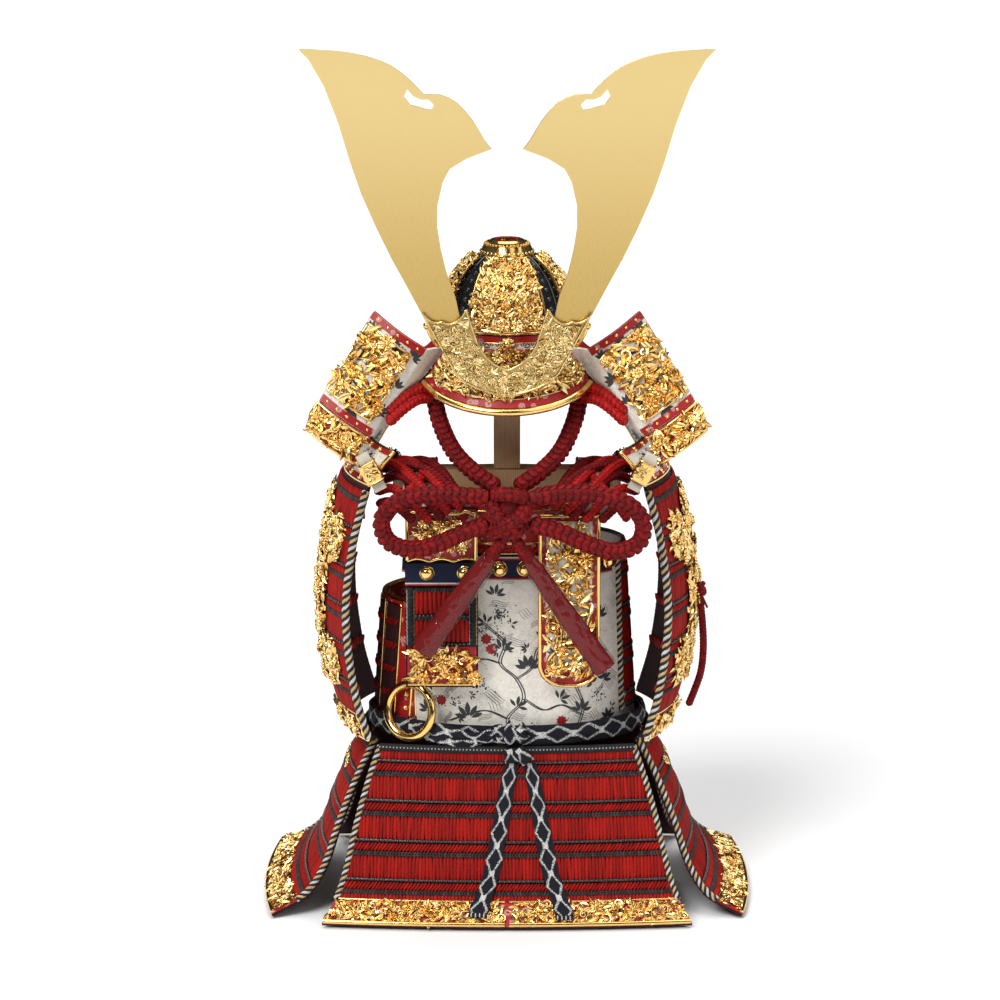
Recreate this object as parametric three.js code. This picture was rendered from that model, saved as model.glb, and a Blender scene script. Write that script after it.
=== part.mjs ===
// A miniature suit of armour on its wooden stand: horned helmet, laced cuirass, shoulder guards and skirt.
// Millimetres, +Z up, the front of the suit faces -Y, the origin lies on the table below the post.
import * as THREE from "three";

// ---------- driving dimensions ----------

const CLEARANCE = 0.3; // running gap between neighbouring pieces
const PLATE = 1.6; // thickness of a laced or leather-faced plate
const METAL = 1.2; // thickness of a sheet metal piece

const BASE = { width: 104, depth: 76, height: 8 };
const POST_SIDE = 13;
const SHOULDER_Z = 212; // top of the shoulder bar
const BAR = { length: 112, depth: 12, height: 12 };
const POST_Y = 8; // the post stands behind the middle of the suit

const WAIST = { z: 84, halfWidth: 63, halfDepth: 36 }; // lower edge of the cuirass
const CHEST = { z: 178, halfWidth: 57, halfDepth: 33 }; // top of the laced body
const BREAST = { topZ: SHOULDER_Z - 8, halfWidth: 38, bow: 0.2 };
const BACK_TOP_Z = SHOULDER_Z - 5;
const WAIDATE = { front: -52, back: -128, topZ: 152, lap: 6 }; // it closes the body's open side, in degrees
const BAND = { height: 12, thickness: 2, halfAngle: 58 };
const SASH = { height: 10, thickness: 3.6 };
const STRAP = { inner: 34, width: 16 };

const HELMET_Z = SHOULDER_Z + 50; // the helmet's own zero height
const BOWL = { radius: 31, rise: 37, shoulder: 23, rim: 10, wall: 1.5 };
const LINING = 2;
const CROWN = { inner: 5, outer: 13.5, height: 4 };
const VISOR = { front: BOWL.radius + 20, side: BOWL.radius + 10, drop: 25, halfAngle: 57, riseAtSide: 19 };
const RIM_RADIUS = 1.9;
const GUARD = { halfOpening: 64, spread: 11, fall: 10, firstRadius: BOWL.radius + 1.3 };
const HORN = { thickness: 1, plane: VISOR.front - 3.8 };
const HOLDER = { thickness: 2, plane: VISOR.front - 2 };
const BLOCK = { radius: 13, height: 20 };

const CORD = 8.5; // diameter of the chin cord
const TAIL = { width: 8, thickness: 2.2 }; // a hanging end of the waist sash

const SODE = { top: SHOULDER_Z + 2, bottom: WAIST.z + 2, standOff: 16, halfWidth: 42, centreY: 2, curl: 13 };
const RING = { radius: 13, tube: 2.1 };

// ---------- small helpers ----------

const radians = (degrees) => (degrees * Math.PI) / 180;
const mix = (a, b, t) => a + (b - a) * t;
const mixPoints = (a, b, t) => new THREE.Vector3().lerpVectors(a, b, t);
const vec = (x, y, z) => new THREE.Vector3(x, y, z);

function paint(color, roughness, metalness) {
  return { color, roughness, metalness };
}

const FINISH = {
  wood: paint(0xb98a5e, 0.6, 0),
  gold: paint(0xd9a62e, 0.3, 1),
  brass: paint(0xd8b968, 0.35, 1),
  lacquer: paint(0x16161a, 0.25, 0),
  lacing: paint(0xb5241f, 0.8, 0),
  cord: paint(0x8c1522, 0.7, 0),
  leather: paint(0xe6e0d4, 0.6, 0),
  navy: paint(0x1a2036, 0.8, 0),
  maroon: paint(0x4a1218, 0.4, 0),
  braid: paint(0x2a2a34, 0.8, 0),
};

function mesh(name, geometry, finish) {
  const made = new THREE.Mesh(geometry, new THREE.MeshStandardMaterial(finish));
  made.name = name;
  return made;
}

// A closed plate of even thickness whose middle surface is point(u, v), with u and v from 0 to 1.
function slab(point, columns, rows, thickness, closed = false) {
  const positions = [];
  const index = [];
  const step = 1e-3;
  const across = closed ? columns : columns + 1;
  const layer = across * (rows + 1);
  const sides = [[], []];
  for (let j = 0; j <= rows; j++) {
    for (let i = 0; i < across; i++) {
      const u = i / columns;
      const v = j / rows;
      const middle = point(u, v);
      const u0 = closed ? u - step : Math.max(u - step, 0);
      const u1 = closed ? u + step : Math.min(u + step, 1);
      const alongU = point(u1, v).sub(point(u0, v));
      const alongV = point(u, Math.min(v + step, 1)).sub(point(u, Math.max(v - step, 0)));
      const normal = alongU.cross(alongV).normalize().multiplyScalar(thickness / 2);
      sides[0].push(middle.clone().add(normal));
      sides[1].push(middle.clone().sub(normal));
    }
  }
  for (const side of sides) for (const p of side) positions.push(p.x, p.y, p.z);
  const outer = (i, j) => j * across + (i % across);
  const inner = (i, j) => layer + outer(i, j);
  const quad = (a, b, c, d) => index.push(a, b, c, a, c, d);
  for (let j = 0; j < rows; j++) {
    for (let i = 0; i < columns; i++) {
      quad(outer(i, j), outer(i + 1, j), outer(i + 1, j + 1), outer(i, j + 1));
      quad(inner(i, j), inner(i, j + 1), inner(i + 1, j + 1), inner(i + 1, j));
    }
    if (closed) continue;
    quad(outer(0, j), outer(0, j + 1), inner(0, j + 1), inner(0, j));
    quad(inner(columns, j), inner(columns, j + 1), outer(columns, j + 1), outer(columns, j));
  }
  for (let i = 0; i < columns; i++) {
    quad(inner(i, 0), inner(i + 1, 0), outer(i + 1, 0), outer(i, 0));
    quad(outer(i, rows), outer(i + 1, rows), inner(i + 1, rows), inner(i, rows));
  }
  const geometry = new THREE.BufferGeometry();
  geometry.setAttribute("position", new THREE.Float32BufferAttribute(positions, 3));
  geometry.setIndex(index);
  return geometry;
}

// A tube of round section along a smooth open line through the points.
function tube(points, radius, steps, sides = 8) {
  const section = new THREE.Shape().absarc(0, 0, radius, 0, 2 * Math.PI);
  const path = new THREE.CatmullRomCurve3(points);
  return new THREE.ExtrudeGeometry(section, { steps, curveSegments: sides / 2, extrudePath: path });
}

// A solid of revolution about +Z from [radius, height] pairs.
function turned(profile, segments = 24) {
  const points = profile.map(([r, z]) => new THREE.Vector2(r, z));
  return new THREE.LatheGeometry(points, segments).rotateX(Math.PI / 2);
}

function box(width, depth, height) {
  return new THREE.BoxGeometry(width, depth, height).translate(0, 0, height / 2);
}

function ellipsoid(rx, ry, rz) {
  return new THREE.SphereGeometry(1, 12, 8).scale(rx, ry, rz);
}

// A flat plate standing upright: the outline is drawn in X and Z, the front face is at -Y.
function upright(shape, thickness, curveSegments = 6) {
  const options = { depth: thickness, bevelEnabled: false, curveSegments };
  return new THREE.ExtrudeGeometry(shape, options).rotateX(Math.PI / 2).translate(0, thickness / 2, 0);
}

// ---------- wooden stand ----------

const POST_TOP = HELMET_Z + BOWL.shoulder + BOWL.rise - BOWL.wall - LINING - 2 * CLEARANCE;
const BLOCK_Z = POST_TOP - BLOCK.height; // the block's underside

function liningRadius(height, offset) {
  const across = BOWL.radius - BOWL.wall - LINING - offset;
  const up = BOWL.rise - BOWL.wall - LINING - offset;
  const share = Math.max(0, (height - BOWL.shoulder) / up);
  return across * Math.sqrt(Math.max(0, 1 - share * share));
}

function domeProfile(across, up, fromRadius, toRadius, steps) {
  const points = [];
  for (let i = 0; i <= steps; i++) {
    const r = mix(fromRadius, toRadius, i / steps);
    points.push([r, BOWL.shoulder + up * Math.sqrt(1 - (r / across) ** 2)]);
  }
  return points;
}

function stand() {
  const group = new THREE.Group();
  const base = mesh("stand_base", box(BASE.width, BASE.depth, BASE.height), FINISH.wood);
  const postFoot = BASE.height + CLEARANCE;
  const barFoot = SHOULDER_Z - BAR.height;
  const lower = box(POST_SIDE, POST_SIDE, barFoot - CLEARANCE - postFoot);
  const post = mesh("stand_post", lower, FINISH.wood);
  post.position.set(0, POST_Y, postFoot);
  const bar = mesh("shoulder_bar", box(BAR.length, BAR.depth, BAR.height), FINISH.wood);
  bar.position.set(0, POST_Y, barFoot);
  const neckFoot = SHOULDER_Z + CLEARANCE;
  const neck = mesh("neck_post", box(POST_SIDE, POST_SIDE, BLOCK_Z - CLEARANCE - neckFoot), FINISH.wood);
  neck.position.set(0, POST_Y, neckFoot);
  const across = BOWL.radius - BOWL.wall - LINING - CLEARANCE;
  const up = BOWL.rise - BOWL.wall - LINING - CLEARANCE;
  const dome = domeProfile(across, up, BLOCK.radius, 0, 6);
  const profile = [[0, BLOCK_Z - HELMET_Z], [BLOCK.radius, BLOCK_Z - HELMET_Z], ...dome];
  const block = mesh("head_block", turned(profile, 16), FINISH.wood);
  block.position.set(0, POST_Y, HELMET_Z);
  group.add(base, post, bar, neck, block);
  return group;
}

// ---------- cuirass ----------

// A point on the oval body, with the angle in degrees from the front (-Y) towards +X.
function bodyPoint(angle, z, offset) {
  const t = (z - WAIST.z) / (CHEST.z - WAIST.z);
  const halfWidth = mix(WAIST.halfWidth, CHEST.halfWidth, t) + offset;
  const halfDepth = mix(WAIST.halfDepth, CHEST.halfDepth, t) + offset;
  return vec(halfWidth * Math.sin(radians(angle)), -halfDepth * Math.cos(radians(angle)), z);
}

const NEXT_LAYER = PLATE / 2 + CLEARANCE; // from the body's middle surface to what lies on it

function bodySlab(fromAngle, toAngle, fromZ, toZ, offset, thickness, columns) {
  const point = (u, v) => bodyPoint(mix(fromAngle, toAngle, u), mix(fromZ, toZ, v), offset);
  return slab(point, columns, 3, thickness);
}

// The upper chest and back are gently bowed plates; facing is -1 in front and +1 behind.
function upperPlateY(x, facing) {
  return facing * CHEST.halfDepth * (1 - BREAST.bow * (x / BREAST.halfWidth) ** 2);
}

function upperPlate(facing, halfWidth, topZ) {
  const foot = CHEST.z + CLEARANCE;
  const point = (u, v) => {
    const x = mix(-halfWidth, halfWidth, u) * (facing < 0 ? 1 : -1) * mix(1, 0.94, v * v);
    return vec(x, upperPlateY(x, facing), mix(foot, topZ, v));
  };
  return slab(point, 8, 2, PLATE);
}

const STRAP_REST = SHOULDER_Z + CLEARANCE + PLATE / 2; // middle of the strap over the bar
const PLAQUE_Y = -44.6; // middle of the two hanging chest plaques

function shoulderStrap(side) {
  const backY = upperPlateY(STRAP.inner, 1) + PLATE + 2 * CLEARANCE;
  const route = new THREE.CatmullRomCurve3([
    vec(0, backY, BACK_TOP_Z - 9),
    vec(0, backY, BACK_TOP_Z + 0.5),
    vec(0, mix(backY, POST_Y, 0.45), STRAP_REST),
    vec(0, POST_Y, STRAP_REST),
    vec(0, POST_Y - 16, STRAP_REST),
    vec(0, PLAQUE_Y + 12, STRAP_REST - 1.5),
    vec(0, PLAQUE_Y + 4, SHOULDER_Z - 5),
    vec(0, PLAQUE_Y + PLATE + CLEARANCE + 0.1, SHOULDER_Z - 13),
  ]);
  const point = (u, v) => {
    const p = route.getPoint(v);
    p.x = side * (STRAP.inner + STRAP.width * u);
    return p;
  };
  return slab(point, 1, 16, PLATE);
}

// A hanging chest plaque, flat, drawn round its top centre.
function plaqueShape(halfWidth, height, footRadius) {
  const shape = new THREE.Shape();
  shape.moveTo(-halfWidth, 0);
  shape.lineTo(-halfWidth, footRadius - height);
  shape.quadraticCurveTo(-halfWidth, -height, footRadius - halfWidth, -height);
  shape.lineTo(halfWidth - footRadius, -height);
  shape.quadraticCurveTo(halfWidth, -height, halfWidth, footRadius - height);
  shape.lineTo(halfWidth, 0);
  return shape;
}

const SENDAN = { x: -31.5, halfWidth: 17.5, topZ: SHOULDER_Z - 7, height: 90, foot: 3 };
const KYUBI = { x: 30, halfWidth: 15, topZ: SHOULDER_Z - 10, height: 87, foot: 11 };

function plaque(name, size, finish) {
  const shape = plaqueShape(size.halfWidth, size.height, size.foot);
  const made = mesh(name, upright(shape, PLATE, 4), finish);
  made.position.set(size.x, PLAQUE_Y, size.topZ);
  return made;
}

// The sash also runs over the side plate, which stands proud of the shell.
function sashOffset() {
  return NEXT_LAYER + PLATE + CLEARANCE + SASH.thickness / 2;
}

function sashKnot() {
  const half = { x: 8, y: 3.4, z: 5 };
  const made = mesh("sash_knot", ellipsoid(half.x, half.y, half.z), FINISH.braid);
  const front = WAIST.halfDepth + sashOffset() + SASH.thickness / 2;
  made.position.set(2, -(front + half.y + CLEARANCE / 2), WAIST.z + 7.5);
  return made;
}

function waistRing() {
  const made = mesh("waist_ring", new THREE.TorusGeometry(RING.radius, RING.tube, 8, 24), FINISH.gold);
  made.rotation.set(radians(78), 0, radians(-33), "ZXY");
  const angle = -42;
  const p = bodyPoint(angle, WAIST.z, sashOffset() + SASH.thickness / 2 + RING.tube - 0.7);
  made.position.set(p.x, p.y, WAIST.z + RING.radius + RING.tube);
  return made;
}

// The tied bow that hangs on the back plate, as one flat outline.
function backBow() {
  const bow = { half: 34, lobe: 9, waist: 5, tail: 52 };
  const shape = new THREE.Shape();
  shape.moveTo(0, bow.lobe);
  shape.quadraticCurveTo(bow.half, 2.4 * bow.lobe, bow.half, 0);
  shape.quadraticCurveTo(bow.half, -2 * bow.lobe, bow.waist + 1, -bow.waist);
  shape.lineTo(2.6 * bow.waist, -bow.tail);
  shape.lineTo(-2.6 * bow.waist, -bow.tail);
  shape.lineTo(-bow.waist - 1, -bow.waist);
  shape.quadraticCurveTo(-bow.half, -2 * bow.lobe, -bow.half, 0);
  shape.quadraticCurveTo(-bow.half, 2.4 * bow.lobe, 0, bow.lobe);
  const thickness = 6;
  const made = mesh("back_bow", upright(shape, thickness, 4), FINISH.cord);
  const top = CHEST.z + 2;
  const back = bodyPoint(180, top - bow.tail, NEXT_LAYER + thickness / 2);
  made.position.set(0, back.y, top);
  return made;
}

function cuirass() {
  const group = new THREE.Group();
  const { front, back, topZ, lap } = WAIDATE;
  const shell = bodySlab(front, 360 + back, WAIST.z, CHEST.z, 0, PLATE, 36);
  const sidePlate = bodySlab(back - lap, front + lap, WAIST.z, topZ, PLATE + CLEARANCE, PLATE, 12);
  group.add(mesh("cuirass_shell", shell, FINISH.leather));
  group.add(mesh("waidate", sidePlate, FINISH.maroon));
  group.add(mesh("breast_plate", upperPlate(-1, BREAST.halfWidth, BREAST.topZ), FINISH.maroon));
  group.add(mesh("back_plate", upperPlate(1, BREAST.halfWidth + 6, BACK_TOP_Z), FINISH.maroon));
  const bandOffset = NEXT_LAYER + BAND.thickness / 2;
  const bandFoot = CHEST.z - BAND.height;
  const reach = BAND.halfAngle;
  const bandPoint = (u, v) => bodyPoint(mix(-reach, reach, u), bandFoot + BAND.height * v, bandOffset);
  group.add(mesh("chest_band", slab(bandPoint, 12, 1, BAND.thickness), FINISH.navy));
  group.add(mesh("strap_left", shoulderStrap(-1), FINISH.leather));
  group.add(mesh("strap_right", shoulderStrap(1), FINISH.leather));
  const sashPoint = (u, v) => {
    const p = bodyPoint(360 * u, WAIST.z, sashOffset());
    p.z = WAIST.z + SASH.height * v;
    return p;
  };
  group.add(mesh("waist_sash", slab(sashPoint, 36, 1, SASH.thickness, true), FINISH.braid));
  group.add(plaque("sendan_plate", SENDAN, FINISH.lacing), plaque("kyubi_plate", KYUBI, FINISH.maroon));
  group.add(backBow());
  return group;
}

// ---------- skirt panels ----------

const HIP = WAIST.z - 3 * CLEARANCE; // top edge of the skirt panels

// Each panel is a curved sheet: [distance out from the middle of the suit, height, half width].
const FRONT_PROFILE = new THREE.CatmullRomCurve3([
  vec(WAIST.halfDepth + 5, HIP, 62),
  vec(WAIST.halfDepth + 10, 66, 68),
  vec(WAIST.halfDepth + 16, 45, 74),
  vec(WAIST.halfDepth + 21, 24, 79),
  vec(WAIST.halfDepth + 26, 12, 83),
  vec(WAIST.halfDepth + 38, 1.6, 90),
]);
const SIDE_PROFILE = new THREE.CatmullRomCurve3([
  vec(WAIST.halfWidth + 5, HIP, 27),
  vec(WAIST.halfWidth + 14, 66, 34),
  vec(WAIST.halfWidth + 23, 44, 40),
  vec(WAIST.halfWidth + 31, 22, 46),
  vec(WAIST.halfWidth + 40, 10, 51),
  vec(WAIST.halfWidth + 57, 1.6, 56),
]);
const PANEL_CURL = 5; // how far a panel's side edges turn back

function panelPoint(profile, facing, u, v) {
  const { x: out, y: z, z: halfWidth } = profile.getPoint(v);
  const across = 2 * u - 1;
  const reach = out - PANEL_CURL * across * across;
  const along = halfWidth * across;
  if (facing === "front") return vec(along, -reach, z);
  if (facing === "back") return vec(-along, reach, z);
  if (facing === "left") return vec(-reach, -along, z);
  return vec(reach, along, z);
}

function skirtPanel(name, profile, facing) {
  const point = (u, v) => panelPoint(profile, facing, u, v);
  return mesh(name, slab(point, 8, 9, PLATE), FINISH.lacing);
}

// A hanging end of the sash lies on the front panel; x runs from startX to endX, v from top to bottom.
function sashTail(name, startX, endX, endShare) {
  const lift = PLATE / 2 + CLEARANCE + TAIL.thickness / 2 + 0.2;
  const point = (u, v) => {
    const share = mix(0.09, endShare, v);
    const { x: out, y: z, z: halfWidth } = FRONT_PROFILE.getPoint(share);
    const x = mix(startX, endX, v) + TAIL.width * (u - 0.5);
    const reach = out - PANEL_CURL * (x / halfWidth) ** 2;
    const ahead = FRONT_PROFILE.getTangent(share);
    const normal = new THREE.Vector2(-ahead.y, ahead.x).normalize();
    return vec(x, -reach - lift * normal.x, z + lift * normal.y);
  };
  return mesh(name, slab(point, 1, 14, TAIL.thickness), FINISH.braid);
}

function skirt() {
  const group = new THREE.Group();
  group.add(skirtPanel("tasset_front", FRONT_PROFILE, "front"));
  group.add(skirtPanel("tasset_back", FRONT_PROFILE, "back"));
  group.add(skirtPanel("tasset_left", SIDE_PROFILE, "left"));
  group.add(skirtPanel("tasset_right", SIDE_PROFILE, "right"));
  group.add(sashTail("sash_tail_left", 2.5, -14, 0.93));
  group.add(sashTail("sash_tail_right", 11, 28, 0.95));
  return group;
}

// ---------- shoulder guards ----------

const SODE_X = WAIST.halfWidth + SODE.standOff; // middle of each guard at its top and its foot
const SODE_PROFILE = new THREE.CatmullRomCurve3([
  vec(SODE_X, SODE.top, 0),
  vec(SODE_X + 7, mix(SODE.top, SODE.bottom, 0.22), 0),
  vec(SODE_X + 11, mix(SODE.top, SODE.bottom, 0.5), 0),
  vec(SODE_X + 7, mix(SODE.top, SODE.bottom, 0.8), 0),
  vec(SODE_X, SODE.bottom, 0),
]);

function sode(side) {
  const point = (u, v) => {
    const p = SODE_PROFILE.getPoint(v);
    const across = 2 * u - 1;
    return vec(side * (p.x - SODE.curl * across * across), SODE.centreY + SODE.halfWidth * across, p.y);
  };
  return slab(point, 8, 8, PLATE);
}

const CAP_ROUTE = new THREE.CatmullRomCurve3([
  vec(SODE_PROFILE.points[0].x, SODE.top + 0.5, 0),
  vec(SODE_PROFILE.points[0].x - 2.5, SODE.top + 4, 0),
  vec(SODE_PROFILE.points[0].x - 6, SODE.top + 10, 0),
  vec(SODE_PROFILE.points[0].x - 12, SODE.top + 17, 0),
]);

function sodeCap(side) {
  const point = (u, v) => {
    const p = CAP_ROUTE.getPoint(v);
    const across = 2 * u - 1;
    return vec(side * (p.x - SODE.curl * across * across), SODE.centreY + SODE.halfWidth * across, p.y);
  };
  return slab(point, 8, 5, PLATE);
}

// The gold sleeve on the front edge of each shoulder guard's hanging strap.
function sodeClasp(side) {
  const clasp = { radius: 4.4, length: 11 };
  const made = mesh("", turned([[0, 0], [clasp.radius, 0], [clasp.radius, clasp.length], [0, clasp.length]], 12));
  made.rotation.set(radians(1), radians(side * 28), 0);
  const x = SODE_PROFILE.points[0].x - SODE.curl - 3.5;
  made.position.set(side * x, SODE.centreY - SODE.halfWidth - clasp.radius - 0.8, SODE.top + 3.5);
  return made;
}

// A short bundle of lacing that ties the guard to the strap.
function shoulderLacing(side) {
  const lacing = { radius: 3, z: SHOULDER_Z + 1.5 };
  const from = STRAP.inner + STRAP.width + 3 * CLEARANCE;
  const to = SODE_PROFILE.points[0].x - 6.2;
  const points = [vec(side * from, -6, lacing.z), vec(side * mix(from, to, 0.5), -6, lacing.z + 2.5)];
  points.push(vec(side * to, -6, lacing.z + 5));
  return tube(points, lacing.radius, 4, 8);
}

function shoulderGuards() {
  const group = new THREE.Group();
  for (const [word, side] of [["left", -1], ["right", 1]]) {
    group.add(mesh("sode_" + word, sode(side), FINISH.lacing));
    group.add(mesh("sode_cap_" + word, sodeCap(side), FINISH.leather));
    group.add(mesh("shoulder_lacing_" + word, shoulderLacing(side), FINISH.cord));
  }
  return group;
}

// ---------- helmet (drawn round its own axis, its zero at HELMET_Z) ----------

function helmetBowl() {
  const outer = domeProfile(BOWL.radius, BOWL.rise, 0, BOWL.radius, 9);
  const inner = domeProfile(BOWL.radius - BOWL.wall, BOWL.rise - BOWL.wall, BOWL.radius - BOWL.wall, 0, 7);
  const lip = [[BOWL.radius, BOWL.rim], [BOWL.radius - BOWL.wall, BOWL.rim]];
  return turned([...outer, ...lip, ...inner].reverse(), 28);
}

function helmetLining() {
  const outside = BOWL.wall + CLEARANCE;
  const inside = BOWL.wall + LINING;
  const outer = domeProfile(BOWL.radius - outside, BOWL.rise - outside, 0, BOWL.radius - outside, 6);
  const inner = domeProfile(BOWL.radius - inside, BOWL.rise - inside, BOWL.radius - inside, 0, 6);
  const foot = BOWL.rim + 1;
  const lip = [[BOWL.radius - outside, foot], [BOWL.radius - inside, foot]];
  return turned([...outer, ...lip, ...inner].reverse(), 20);
}

function domeHeight(radius) {
  return BOWL.shoulder + BOWL.rise * Math.sqrt(1 - (radius / BOWL.radius) ** 2);
}

function crownRing() {
  const { inner, outer, height } = CROWN;
  const top = domeHeight(0) + height;
  const seat = (r) => domeHeight(r) + CLEARANCE + 0.1;
  const middle = (inner + outer) / 2;
  const under = [[inner, seat(inner)], [middle, seat(middle)], [outer, seat(outer)]];
  const over = [[outer, seat(outer) + 1.6], [middle + 2, seat(middle) + 2.4], [middle, top - 1.4], [inner, top]];
  return turned([...under, ...over, under[0]], 24);
}

// A relief plate on the dome, from the brow up to the crown ring.
function bowlPlate(centreAngle, halfAngle) {
  const radius = BOWL.radius + 2 * CLEARANCE + METAL / 2;
  const rise = BOWL.rise + 2 * CLEARANCE + METAL / 2;
  const top = Math.acos((CROWN.outer + 1.6) / radius);
  const point = (u, v) => {
    const lift = mix(0, top, v);
    const angle = radians(centreAngle + halfAngle * (2 * u - 1));
    const r = radius * Math.cos(lift);
    return vec(r * Math.sin(angle), -r * Math.cos(angle), BOWL.shoulder + rise * Math.sin(lift));
  };
  return slab(point, 6, 5, METAL);
}

function browBand() {
  const radius = BOWL.radius + CLEARANCE + METAL / 2;
  const point = (u, v) => {
    const angle = radians(mix(-VISOR.halfAngle, VISOR.halfAngle, u));
    const z = mix(BOWL.shoulder - 8, BOWL.shoulder - 0.8, v);
    return vec(radius * Math.sin(angle), -radius * Math.cos(angle), z);
  };
  return slab(point, 10, 1, METAL);
}

function visorPoint(angle, share, beyond = 0) {
  const root = BOWL.radius + 2 * CLEARANCE + METAL + METAL / 2;
  const rim = VISOR.side + (VISOR.front - VISOR.side) * Math.cos(radians(angle));
  const rootZ = BOWL.rim + 6;
  const rimZ = rootZ - VISOR.drop + VISOR.riseAtSide * (1 - Math.cos(radians(angle)));
  const slope = Math.hypot(rim - root, rimZ - rootZ);
  const t = share + beyond / slope;
  const r = mix(root, rim, t);
  return vec(r * Math.sin(radians(angle)), -r * Math.cos(radians(angle)), mix(rootZ, rimZ, t));
}

function visor() {
  const reach = VISOR.halfAngle;
  return slab((u, v) => visorPoint(mix(-reach, reach, u), v), 14, 4, METAL);
}

function visorRim() {
  const points = [];
  const reach = VISOR.halfAngle;
  for (let angle = -reach; angle <= reach; angle += reach / 6) {
    points.push(visorPoint(angle, 1, RIM_RADIUS + CLEARANCE));
  }
  return tube(points, RIM_RADIUS, 28, 8);
}

// Tier by tier, the neck guard spreads round the sides and the back.
function guardTier(tier) {
  const { spread, fall, firstRadius, halfOpening } = GUARD;
  const inner = firstRadius + tier * (spread - 1);
  const top = BOWL.rim + 4 - tier * (fall + 1.7);
  const point = (u, v) => {
    const angle = radians(mix(halfOpening, 360 - halfOpening, u));
    const r = inner + spread * v;
    return vec(r * Math.sin(angle), -r * Math.cos(angle), top - fall * v);
  };
  return slab(point, 20, 1, PLATE);
}

// Corners of the turned-back panel on the +X side: root, fold and outer edge, top and bottom.
const turnbackCorner = (x, y, z) =>
  vec(
    GUARD.firstRadius * Math.sin(radians(GUARD.halfOpening)) + x,
    -GUARD.firstRadius * Math.cos(radians(GUARD.halfOpening)) + y,
    z,
  );
const TURNBACK = {
  rootTop: turnbackCorner(0.57, -1.84, 14),
  rootBottom: turnbackCorner(27.57, -15.44, -18),
  foldTop: turnbackCorner(9.97, -13.84, 15),
  foldBottom: turnbackCorner(36.97, -25.84, -25),
  outerTop: turnbackCorner(34.97, -5.84, 32),
  outerBottom: turnbackCorner(60.97, -23.84, -8),
};

function mirrored(p, side) {
  return vec(side * p.x, p.y, p.z);
}

function turnback(side) {
  const fold = 0.2;
  const point = (u, v) => {
    const root = mixPoints(TURNBACK.rootTop, TURNBACK.rootBottom, v);
    const crease = mixPoints(TURNBACK.foldTop, TURNBACK.foldBottom, v);
    const outer = mixPoints(TURNBACK.outerTop, TURNBACK.outerBottom, v);
    if (u < fold) return mirrored(mixPoints(root, crease, u / fold), side);
    const share = (u - fold) / (1 - fold);
    const p = mixPoints(crease, outer, share);
    p.y -= 4.5 * Math.sin(Math.PI * share);
    return mirrored(p, side);
  };
  return slab(point, 10, 4, PLATE);
}

// The separate pierced band below each turned-back panel.
function turnbackBand(side) {
  const { foldTop, foldBottom, outerTop, outerBottom } = TURNBACK;
  const down = mixPoints(foldBottom, outerBottom, 0.5).sub(mixPoints(foldTop, outerTop, 0.5)).normalize();
  const drop = 17;
  const point = (u, v) => {
    const edge = mixPoints(foldBottom, outerBottom, mix(0.05, 1.04, u));
    edge.y -= 4.5 * Math.sin(Math.PI * Math.min(1, Math.max(0, mix(0.05, 1.04, u))));
    const p = edge.addScaledVector(down, 0.6 + CLEARANCE + drop * v);
    p.x -= 4 * v * v;
    return mirrored(p, side);
  };
  return slab(point, 8, 3, METAL);
}

// ---------- helmet horns and their holder ----------

// Smooth runs joined at their shared corners, as one closed outline.
function outlineOf(runs, pointsPerRun) {
  const points = [];
  for (const run of runs) points.push(...new THREE.SplineCurve(run).getPoints(pointsPerRun).slice(0, -1));
  return new THREE.Shape(points);
}

// Outline of the blade on the +X side, seen from the front.
function hornShape(side) {
  const at = ([x, z]) => new THREE.Vector2(side * x, z);
  const heel = [22.7, 24];
  const innerTip = [7.3, 115.7];
  const notch = [39, 141.6];
  const outerTip = [98, 163.1];
  const toe = [36, 24];
  const runs = [
    [heel, [22.7, 38.6], [28.5, 55.2], [32, 70.8], [33.3, 85.5], [30, 101.1], [23.7, 108.9], innerTip],
    [innerTip, [11, 120.6], [16.2, 129.4], [23.6, 137.7], [31.6, 141.6], notch],
    [notch, [45.5, 148.4], [54.5, 155.3], [66, 159.7], [80, 162.1], outerTip],
    [outerTip, [91.4, 155.3], [82.5, 137.2], [75.3, 113.3], [69, 94.3], [60, 73.8], [51, 55.7], [41, 37.7], toe],
    [toe, heel],
  ];
  const shape = outlineOf(runs.map((run) => run.map(at)), 10);
  const slot = [[47, 144], [44, 140.6], [40.5, 139.2], [37, 139.2], [34.5, 136.7], [35.5, 134.3]];
  slot.push([38.5, 134.8], [41.5, 135.8], [45.5, 136.7], [48.5, 140.6]);
  shape.holes.push(new THREE.Path(slot.map(at)));
  return shape;
}

function horn(side) {
  const made = mesh("", upright(hornShape(side), HORN.thickness, 14));
  made.position.set(0, -HORN.plane, 0);
  return made;
}

function crestHolder() {
  const shape = new THREE.Shape();
  shape.moveTo(0, -3);
  shape.quadraticCurveTo(22, 1, 26, 11);
  shape.lineTo(40, 37);
  shape.quadraticCurveTo(36, 31, 31, 33);
  shape.quadraticCurveTo(25, 29, 19.5, 39);
  shape.lineTo(14, 22);
  shape.quadraticCurveTo(9, 12, 0, 9.5);
  shape.quadraticCurveTo(-9, 12, -14, 22);
  shape.lineTo(-19.5, 39);
  shape.quadraticCurveTo(-25, 29, -31, 33);
  shape.quadraticCurveTo(-36, 31, -40, 37);
  shape.lineTo(-26, 11);
  shape.quadraticCurveTo(-22, 1, 0, -3);
  return upright(shape, HOLDER.thickness, 5);
}

// ---------- chin cord, tied in a bow in front of the chest ----------

const BOW = vec(1, -64, -57); // the knot, in the helmet's frame
const KNOT = { x: 10.8, y: 7, z: 13 };

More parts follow.
